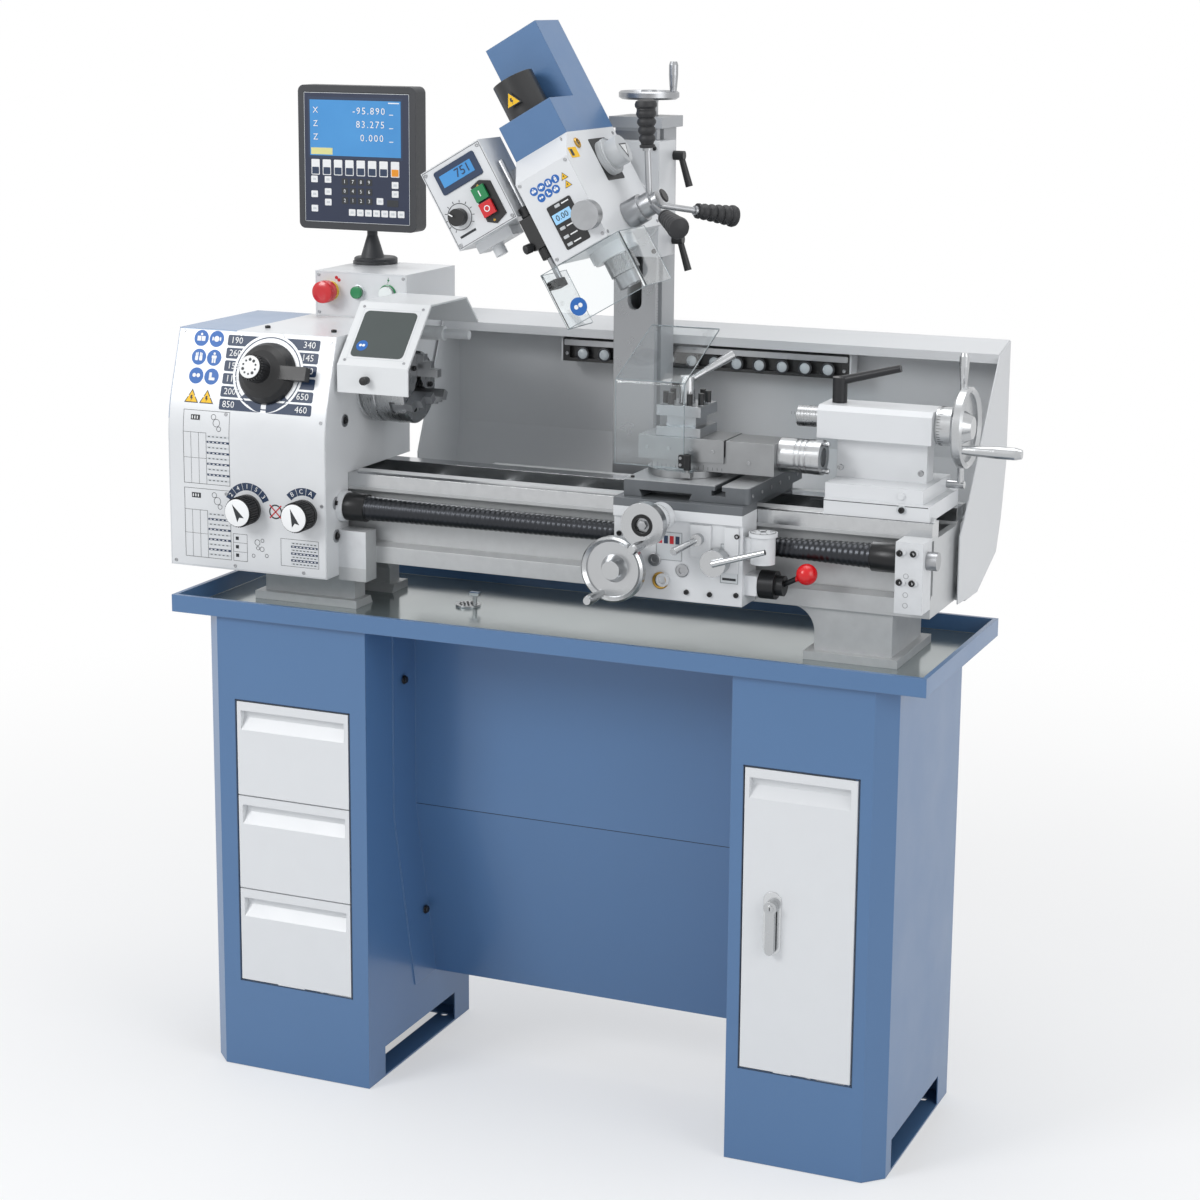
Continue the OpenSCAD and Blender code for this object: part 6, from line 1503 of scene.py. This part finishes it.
@dataclass
class Tailstock:
    """The tailstock, its quill, wheel and levers, and the bearing bracket below it."""
    front: float = -12.0
    base: float = -52.8
    bracket: float = -107.0
    wheel: Point = (616.0, 30.0, 1200.0)

    def dress(self) -> None:
        """Gives bed and tailstock their finishes."""
        dress(Finish("bed_iron", Coat("c9cbcc", 0.42, 0.2), grain=0.08, scale=60.0, bump=0.15, zones=(
            Zone((-596, -61, 1036), (633, 121, 1060), Coat("c2c4c6", 0.2, 1.0)),
            Zone((-596, -61, 905), (633, 121, 1036), Coat("c9cbcc", 0.36, 0.25)),
            Zone((586.5, -140, 900), (633, -60.2, 1060), WHITE_COAT),
            Zone((-405.2, -140, 900), (-352, -60.2, 1060), WHITE_COAT))), "bed")
        dress(WHITE, "tailstock")
        dress(TURNED, "quill")
        dress(BRIGHT, "tailstock_wheel")
        dress(Finish("lever_black", Coat("222326", 0.36, 0.3), edge=0.8), "quill_lock_lever")
        dress(BRIGHT, "tail_clamp_lever")

    def build(self) -> None:
        """Adds screws, the quill's scale, the bracket's bolts, and painted shade in the split line and
        bracket holes.
        """
        piece = Piece("tailstock_details", "tailstock", "white_paint")
        place = at((0, self.front, 0))
        piece.screws(place, ((464.3, 1128.6), (597, 1128.6)), 5.0, STEEL)
        base = at((0, self.base, 0))
        # The split line between the body and its base is a dark strip of painted shade.
        piece.flat(box(428, 1080.6, 622, 1081.8), base, INK_AND_SHADE, 0.2)
        piece.push(box(570, 1068, 588, 1082, 7), 0, 0.6, base, PLATE, 0.2)
        piece.screw(shifted(base, 579, 1075, 0.6), 5.0)
        for k in range(11):
            piece.flat(box(520 + 3 * k, 1090, 520.4 + 3 * k, 1094 + 2 * (k % 5 == 0)), place, INK_AND_SHADE, 0.3)
        piece.done()
        marks = Piece("quill_marks", "quill", "steel")
        for k in range(9):
            marks.flat(box(-0.2, 0, 0.2, 4 + 3 * (k % 5 == 0)),
                       at((414 - 5 * k, 3.2, 1206), (1, 0, 0), (0, 0.2, 1)), INK_AND_SHADE, 0.3)
        marks.done()
        dial = Piece("tail_dial_marks", "tail_wheel", "bright_steel")
        around = along(self.wheel, (1, 0, 0))
        for k in range(40):
            dial.push(box(-0.3, 31.0, 0.3, 31.5), 0, 9 if k % 5 == 0 else 5,
                      spun(around, math.tau * k / 40), INK_AND_SHADE)
        dial.done()
        end = Piece("bracket_bolts", "stand", "black_steel")
        face = at((0, self.bracket, 0))
        end.screws(face, ((594, 1018), (616, 1018.6), (594.5, 971.6), (615, 971.5)), 5.2)
        # Three holes in steel rims; their dark discs are painted shade.
        for z in (982, 952, 935):
            end.turn([(3.4, 0.2), (0, 0.2)], shifted(face, 605, z), INK_AND_SHADE, 20)
            end.turn([(4.4, 0), (4.4, 0.5), (3.4, 0.5)], shifted(face, 605, z), STEEL, 20)
        end.done()


@dataclass
class BackGuard:
    """The splash guard behind the bed, with the lamp under its lip."""
    lamp: tuple[float, float] = (-160.0, 375.0)
    count: int = 12

    def dress(self) -> None:
        """Gives the guard its sheet and the lamp its housing."""
        dress(Finish("guard_sheet", Coat("ced0d2", 0.34), clear_coat=0.2, grain=0.02, scale=8.0, zones=(
            Zone((-161, 296, 1221), (376, 335.2, 1262.5), BLACK_COAT),)), "splash_guard")

    def build(self) -> None:
        """Adds the lamp's trim, lenses, cells and screws."""
        piece = Piece("lamp_lenses", "stand", "black_plastic")
        place = at((0, 300.0, 0))
        x0, x1 = self.lamp
        piece.push(box(x0 + 2, 1250.5, x1 - 2, 1261, 2), 0, 1.6, place, STEEL, 0.5)
        for k in range(self.count):
            x = x0 + (k + 0.9) * (x1 - x0) / (self.count + 0.8)
            spot = at((x, 299.6, 1236.5))
            piece.turn([(12.5, 0), (12.5, 1.2), (10.4, 2.2), (9.2, 0.6)], spot, GREY, 32)
            piece.turn([(9.4, 0.5), (7.0, 2.6), (3.4, 3.6), (0, 3.8)], spot, LAMP_LENS, 32)
        piece.screws(place, ((x0 + 8, 1236), (x1 - 8, 1236)), 3.2, STEEL)
        piece.done()


@dataclass
class Column:
    """The column behind the bed, its elevating screw, carriage and clamping levers."""
    scale_x: float = 60.2
    scale_z: float = 1300.0

    def dress(self) -> None:
        """Gives the column's parts their finishes."""
        dress(Finish("column_paint", Coat("a9acaf", 0.4), clear_coat=0.1, grain=0.03, edge=1.6, zones=(
            Zone((-20, 180, 830), (63, 190.6, 1640), Coat("97999c", 0.3, 0.8)),)), "column")
        dress(STEEL, "column_screw")
        dress(WHITE, "head_carriage")
        dress(BLACK, "lock_lever_top", "lock_lever_bottom")

    def build(self) -> None:
        """Adds the cap's screws, the scale and the carriage's bolts."""
        piece = Piece("column_details", "stand", "grey_cast")
        piece.screws(upward(0, 262, 1645.2), ((-6, 0), (49, 0)))
        side = at((self.scale_x, 196, self.scale_z), (0, 1, 0))
        for k in range(56):
            z = 5 * k
            piece.flat(box(0, z - 0.2, 9 if k % 10 == 0 else 5, z + 0.2)[::-1], side, INK_AND_SHADE)
        piece.done()
        top = Piece("carriage_bolts", "head_carriage", "white_paint")
        top.screws(at((0, 155, 0)), product((-26, 69), (1440, 1614)))
        top.done()


@dataclass
class MillHead:
    """The tilted mill head: prints, screens, buttons, knobs, capstan and fittings."""
    front: float = -92.0
    box_front: float = -67.0
    slant: float = 27.0
    hub: Point = (95.0, 25.0, -20.0)
    dial: Flat = (-178.0, 107.0)

    def dress(self) -> None:
        """Gives the head's nodes their finishes."""
        dress(painted("mill_paint", Zone((-60, -100, 139.2), (60, 160, 345), BLUE_COAT, True),
                      Zone((-56, -30, 202.3), (24, 49.9, 280), BLACK_COAT, True),
                      Zone((-95, -75, -75), (-52.4, 20, 54), BLACK_COAT, True), edge=1.8), "mill_head")
        dress(WHITE, "mill_control_box")
        dress(BLACK, "mill_speed_knob")
        dress(GREEN, "mill_start_button")
        dress(RED, "mill_stop_button")
        dress(TURNED, "mill_quill")
        dress(STEEL, "mill_spindle")
        hub = HEAD.point(*self.hub)
        dress(Finish("capstan_parts", STEEL_COAT, grain=0.06, scale=60.0, edge=0.6, zones=(
            Beyond((hub.x, hub.y, hub.z), 92.0, Coat("202124", 0.5)),)), "capstan")
        dress(GREY_SHEET, "gear_selector")
        dress(STEEL, "fine_knob")

    def build(self) -> None:
        """Adds the head's front, the control box's front and the turning parts' marks."""
        self.face()
        self.controls()
        self.side()

    def face(self) -> None:
        """Adds the signs, the black panel with its screen and keys, and the screws."""
        piece = Piece("mill_front", "mill_head", "white_paint")
        place = on_head(0, self.front, 0)
        glyphs = (*Glyph, Glyph.BOOK)
        spots = ((-28, 76), (-13, 76), (1.4, 76.4), (15.6, 76.3), (-21, 61), (-6, 62), (8.6, 61.5))
        for glyph, (u, w) in zip(glyphs, spots):
            sign(piece, shifted(place, u, w), glyph, 7.0)
        for u, w in ((31, 74), (31, 60)):
            caution(piece, shifted(place, u, w - 2), 13.5)
        piece.push(box(-22, -34, 25, 42.5, 3), 0, 1.4, place, BLACK, 0.5)
        piece.flat(box(-19, 10, 16, 27, 1), shifted(place, 0, 0, 1.4), SMALL_SCREEN, 0.4)
        piece.digits("0.00", 10, shifted(place, -2, 18.5, 1.6), INK_AND_SHADE)
        for u, w in ((-2, 37), (-11, 1), (-12, -14), (-12, -27)):
            piece.push(box(u - 5, w - 2.6, u + 5, w + 2.6, 1.2), 1.4, 2.6, place, GREY_SHEET, 0.5)
            piece.flat(box(u + 8, w - 1, u + 22, w + 1), shifted(place, 0, 0, 1.4), PAPER, 0.3)
        piece.screws(place, ((-46, 95), (46, 95), (-46, -38), (46, -38)), 3.0, STEEL, False)
        piece.done()

    def controls(self) -> None:
        """Adds the control box's front: screen, switch plate, scale and corner screws."""
        piece = Piece("mill_box_front", "mill_head", "white_paint")
        place = on_head(0, self.box_front, 0)
        frame_line(piece, place, -205, 60, -87, 199, 0.8, GREY, 0.4)
        piece.push(box(-186, 149, -103, 191, 4), 0, 2.2, place, NAVY, 0.8)
        piece.flat(box(-178, 160, -114, 181, 1), shifted(place, 0, 0, 2.2), SCREEN, 0.4)
        piece.digits("751", 15, shifted(place, -134, 170.5, 2.4), NAVY)
        plate = [(-136, 139), (-137, 76), (-122, 66), (-99, 73), (-99, 133), (-117, 143)]
        piece.push(plate, 0, 2.4, place, BLACK, 0.7)
        piece.screws(shifted(place, 0, 0, 2.4), ((-123, 135), (-123, 73)), 2.2, BRASS, False)
        dial = shifted(place, *self.dial)
        piece.ring(21.9, 0.6, dial, 48, 0.4)
        for k in range(11):
            turn = math.radians(225 - 27 * k)
            piece.flat(box(-0.5, 23.5, 0.5, 27.5), spun(dial, turn - math.pi / 2), INK_AND_SHADE, 0.4)
        piece.flat(box(-194, 74, -162, 78), place, INK_AND_SHADE, 0.4)
        piece.screws(place, ((-200, 194), (-92, 194), (-92, 65), (-200, 65)), 3.2, STEEL, False)
        piece.done()
        right, up = HEAD.way(1, 0, 0), HEAD.way(0, 0, 1)
        start = Piece("start_mark", "mill_start", "green_plastic")
        start.flat(box(-1, -5, 1, 5), at((-145.8, -76.6, 1546.1), right, up), PAPER, 0.3)
        start.done()
        turned("stop_mark", "mill_stop", "red_plastic", [(5.4, 0), (5.4, 0.4), (3.9, 0.4), (3.9, 0)],
               at((-132.0, -76.6, 1522.2), right, up), PAPER, 40)

    def side(self) -> None:
        """Adds the motor's label, the sight glass, the selector's arrow and the knobs' faces."""
        piece = Piece("mill_side_marks", "mill_head", "white_paint")
        right = beside(52, 0, 0)
        piece.flat(box(-76, 94, -44, 112, 2), right, SUN, 0.5)
        piece.flat(box(-72, 97, -62, 109), right, INK_AND_SHADE, 0.7)
        glass = shifted(right, -30, 118)
        piece.turn([(9, 0), (9, 2), (7.6, 3), (6, 3), (5.8, 1)], glass, BRASS, 28)
        piece.turn([(6, 1), (0, 1.4)], glass, SMOKE, 28)
        piece.push(box(18, 46, 88, 122, 3), 0, 0.8, right, BLACK, 0.3)
        piece.screws(right, ((-84, 128), (130, 128), (-84, -38), (130, -38)), 3.2, STEEL, False)
        caution(piece, on_head(-16, -30.4, 232), 30)
        piece.done()
        collars = Piece("rod_collars", "mill_head", "black_plastic")
        for w0, w1, r in ((-24, -5, 12.0), (52, 70, 11.0)):
            path = along(HEAD.point(-76, -47, w0), HEAD.way(0, 0, 1))
            h = w1 - w0
            collars.turn([(5.4, 0), (r - 1, 0), (r, 1), (r, h - 1), (r - 1, h), (5.4, h), (5.4, 0)],
                         path, BLACK, 32)
        knob = along(HEAD.point(-86, -54, 4), HEAD.way(-0.6, -0.8, 0))
        collars.turn([(5, -4), (5, 8), (8, 9), (8, 20), (7, 21), (0, 21)], knob, BLACK, 28)
        collars.done()
        selector = Piece("selector_face", "gear_selector", "grey_plastic")
        face = beside(0, 50, 84)
        selector.turn([(23.4, 88.9), (23.4, 89.5), (21.5, 90.2), (0, 90.2)], face, GREY_SHEET, 44)
        selector.flat(circle(17, 3, start=150), shifted(face, 0, 0, 90.2), INK_AND_SHADE, 0.4)
        selector.flat(circle(12.5, 3, start=150), shifted(face, 0, 0, 90.4), PAPER, 0.4)
        for h in (60, 64):
            selector.turn([(31.2, h), (31.9, h + 0.8), (31.2, h + 1.6)], face, GREY_SHEET, 44)
        selector.done()
        self.grips()
        knob = Piece("mill_speed_pointer", "mill_speed", "white_plastic")
        knob.flat(box(-1, 4, 1, 12, 0.8), spun(on_head(-178, self.box_front - 20.5, 107), 0.6), PAPER, 0.5)
        knob.done()
        turned("capstan_cap", "capstan", "steel", [(12, 123), (12, 124.5), (10, 126), (0, 126)],
               beside(0, 25, -20), BLACK_SATIN, 32)

    def grips(self) -> None:
        """Adds the ribbed rubber sleeves with ball ends on the capstan's three levers."""
        piece = Piece("capstan_sleeves", "capstan", "black_plastic")
        lean = math.radians(self.slant)
        profile = [(7.5, 90), (12.5, 91), (13, 95), (9.5, 97)]
        for k in range(4):
            h, r = 99 + 13.5 * k, 13.4 + 1.0 * k
            profile += [(r - 2.6, h), (r, h + 4), (r + 0.4, h + 7), (r - 0.4, h + 10), (r - 2.8, h + 13)]
        profile += [(15.5, 154), (18.0, 157), (18.4, 161), (16.5, 166), (11, 169), (0, 170)]
        for k in range(3):
            turn = math.tau * k / 3
            way = HEAD.way(math.sin(lean), -math.sin(turn) * math.cos(lean), math.cos(turn) * math.cos(lean))
            piece.turn(profile, along(HEAD.point(*self.hub), way), RUBBER, 36)
        piece.done()


@dataclass
class MillGuard:
    """The clear guard round the mill's spindle, on its rod."""
    low: float = -145.0
    high: float = -47.0
    left: float = -89.0
    right: float = 70.0
    front: float = -87.0
    back: float = 23.0
    rod: Flat = (-76.0, -47.0)

    def build(self) -> None:
        """Adds the panes, painted reflection on their edges and folds, the block and the rod, in place of the
        plain ones.
        """
        piece = Piece("mill_guard_panes", "mill_guard", "clear_plastic")
        place = at(HEAD.point(0, 0, 0), HEAD.way(1, 0, 0), (0, 1, 0))
        x0, x1, y0, y1, t = self.left, self.right, self.front, self.back, 3.0
        outer = [(x0, y1 - 7), (x0, y0 + 4), (x0 + 1.2, y0 + 1.2), (x0 + 4, y0), (x1 - 4, y0),
                 (x1 - 1.2, y0 + 1.2), (x1, y0 + 4), (x1, y1)]
        inner = [(x1 - t, y1), (x1 - t, y0 + 4.6), (x1 - 4.6, y0 + t), (x0 + 4.6, y0 + t), (x0 + t, y0 + 4.6),
                 (x0 + t, y1 - 7)]
        piece.push(outer + inner, self.low, self.high, place, ACRYLIC)
        # Painted reflection: grey lines along the panes' edges and corner folds.
        for w in (self.low, self.high):
            piece.tube([place(u, y, w) for u, y in outer], REFLECTION_LINE_RADIUS, PANE_EDGE_REFLECTION)
        for u, y in (outer[0], outer[2], outer[5], outer[-1]):
            piece.tube([place(u, y, self.low), place(u, y, self.high)], REFLECTION_LINE_RADIUS, PANE_EDGE_REFLECTION)
        piece.done(20, ("mill_guard",))
        rod = Piece("mill_guard_rod", "mill_guard", "bright_steel")
        u, y = self.rod
        rod.turn([(0, -69), (4.6, -69), (5, -68), (5, 155), (4.4, 156), (0, 156)],
                 shifted(place, u, y), STEEL, 28)
        rod.push(box(x0 + t + 0.2, y0 + t + 0.2, u + 6, y + 6), -76, -62, place, BLACK, 1.0)
        rod.done()
        marks = Piece("mill_guard_sticker", "mill_guard", "clear_plastic")
        sign(marks, on_head(-51.7, self.front, -121), Glyph.GOGGLES, 15)
        for w in (-66, -72):
            marks.screw(on_head(x0 + 8, self.front, w), 2.2)
        marks.done()


# Light and camera

@dataclass
class Studio:
    """The pale floor, the soft light and the camera."""
    eye: Point = (1.70211, -3.91582, 1.87334)
    azimuth: float = 22.99
    elevation: float = 11.57
    roll: float = 0.45
    lens: float = 77.613
    sensor: float = 36.0
    shift: float = -80 / 1200
    floor_radius: float = 14.0

    def build(self) -> None:
        """Adds world, floor, lamps and camera, and sets the view transform."""
        self.world()
        self.floor()
        self.lamp("key_light", (-2.4, -3.6, 3.4), (0.0, 0.0, 1.1), 1.8, 96.0)
        self.lamp("fill_light", (3.8, -1.6, 2.2), (0.0, 0.0, 1.0), 2.4, 44.0)
        self.lamp("top_light", (0.2, 0.4, 4.4), (0.0, 0.0, 1.0), 2.4, 52.0)
        self.camera()
        bpy.context.scene.view_settings.view_transform = "Standard"

    def seen(self, tree: Tree) -> Socket:
        """Returns a mask that is 1 where a place is looked at, reflected or seen through glass.

        Args:
            tree: The node tree that gets it.

        Returns:
            The mask.
        """
        path = node(tree, "LightPath").outputs
        direct = math_node(tree, "MAXIMUM", path["Is Camera Ray"], path["Is Glossy Ray"])
        return math_node(tree, "MAXIMUM", direct, path["Is Transmission Ray"])

    def world(self) -> None:
        """Makes a backdrop that is white where it is seen and dimmer as a light."""
        world = bpy.data.worlds.new("studio")
        bpy.context.scene.world = world
        world.use_nodes = True
        tree = world.node_tree
        tree.nodes.clear()
        color = mix(tree, self.seen(tree), (0.47, 0.48, 0.50, 1.0), (1.0, 1.0, 1.0, 1.0))
        back = node(tree, "Background", {"Color": color, "Strength": 1.0})
        node(tree, "OutputWorld", {0: back.outputs[0]})

    def floor(self) -> None:
        """Adds the floor, which fades into the backdrop away from the stand."""
        made = blank("studio_floor")
        tree = made.node_tree
        place = node(tree, "TexCoord").outputs["Object"]
        far = node(tree, "VectorMath", {0: place}, operation="LENGTH").outputs["Value"]
        fade = node(tree, "MapRange", {"Value": far, "From Min": 0.3, "From Max": 3.4, "To Min": 0.45},
                    interpolation_type="SMOOTHSTEP").outputs[0]
        noise = node(tree, "TexNoise", {"Vector": place, "Scale": 3.0}).outputs[0]
        shader = node(tree, "BsdfPrincipled", {"Base Color": mix(tree, noise, rgb("f2f3f4"), rgb("f6f7f7")),
                                               "Roughness": 0.6, "Specular IOR Level": 0.2})
        glow = node(tree, "Emission", {"Color": (1.0, 1.0, 1.0, 1.0), "Strength": 1.0})
        both = node(tree, "MixShader", {0: math_node(tree, "MULTIPLY", fade, self.seen(tree)),
                                        1: shader.outputs[0], 2: glow.outputs[0]})
        node(tree, "OutputMaterial", {0: both.outputs[0]})
        mesh = bpy.data.meshes.new("studio_floor")
        mesh.from_pydata([(x, y, -0.001) for x, y in circle(self.floor_radius, 64)], [], [list(range(64))])
        mesh.materials.append(made)
        floor = bpy.data.objects.new("studio_floor", mesh)
        bpy.context.scene.collection.objects.link(floor)

    def lamp(self, name: str, spot: Point, aim: Point, size: float, power: float) -> None:
        """Adds a square area lamp that points at the machine.

        Args:
            name: Its name.
            spot: Where it stands, in metres.
            aim: Where it points.
            size: Length of its sides.
            power: Its power in watts.
        """
        data = bpy.data.lights.new(name, "AREA")
        data.energy, data.size = power, size
        made = bpy.data.objects.new(name, data)
        made.location = spot
        made.rotation_euler = (Vector(aim) - Vector(spot)).to_track_quat("-Z", "Y").to_euler()
        bpy.context.scene.collection.objects.link(made)

    def camera(self) -> None:
        """Adds the camera of the picture."""
        a, e, r = (math.radians(v) for v in (self.azimuth, self.elevation, self.roll))
        back = Vector((math.sin(a) * math.cos(e), -math.cos(a) * math.cos(e), math.sin(e)))
        right = Vector((math.cos(a), math.sin(a), 0))
        up = back.cross(right)
        x = right * math.cos(r) + up * math.sin(r)
        y = up * math.cos(r) - right * math.sin(r)
        data = bpy.data.cameras.new("camera")
        data.lens, data.sensor_width, data.shift_y = self.lens, self.sensor, self.shift
        made = bpy.data.objects.new("camera", data)
        made.matrix_world = Matrix(((x.x, y.x, back.x, self.eye[0]), (x.y, y.y, back.y, self.eye[1]),
                                    (x.z, y.z, back.z, self.eye[2]), (0, 0, 0, 1)))
        bpy.context.scene.collection.objects.link(made)
        bpy.context.scene.camera = made


def main() -> None:
    """Builds and dresses every sub-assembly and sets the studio."""
    logging.basicConfig(level=logging.INFO, format="%(name)s %(message)s")
    for part in (Stand(), Headstock(), Workholding(), Controls(), ScrewCovers(), Carriage(), Tailstock(),
                 BackGuard(), Column(), MillHead()):
        part.dress()
        part.build()
    ToolGuard().build()
    MillGuard().build()
    Studio().build()
    bpy.context.view_layer.update()


if __name__ == "__main__":
    main()
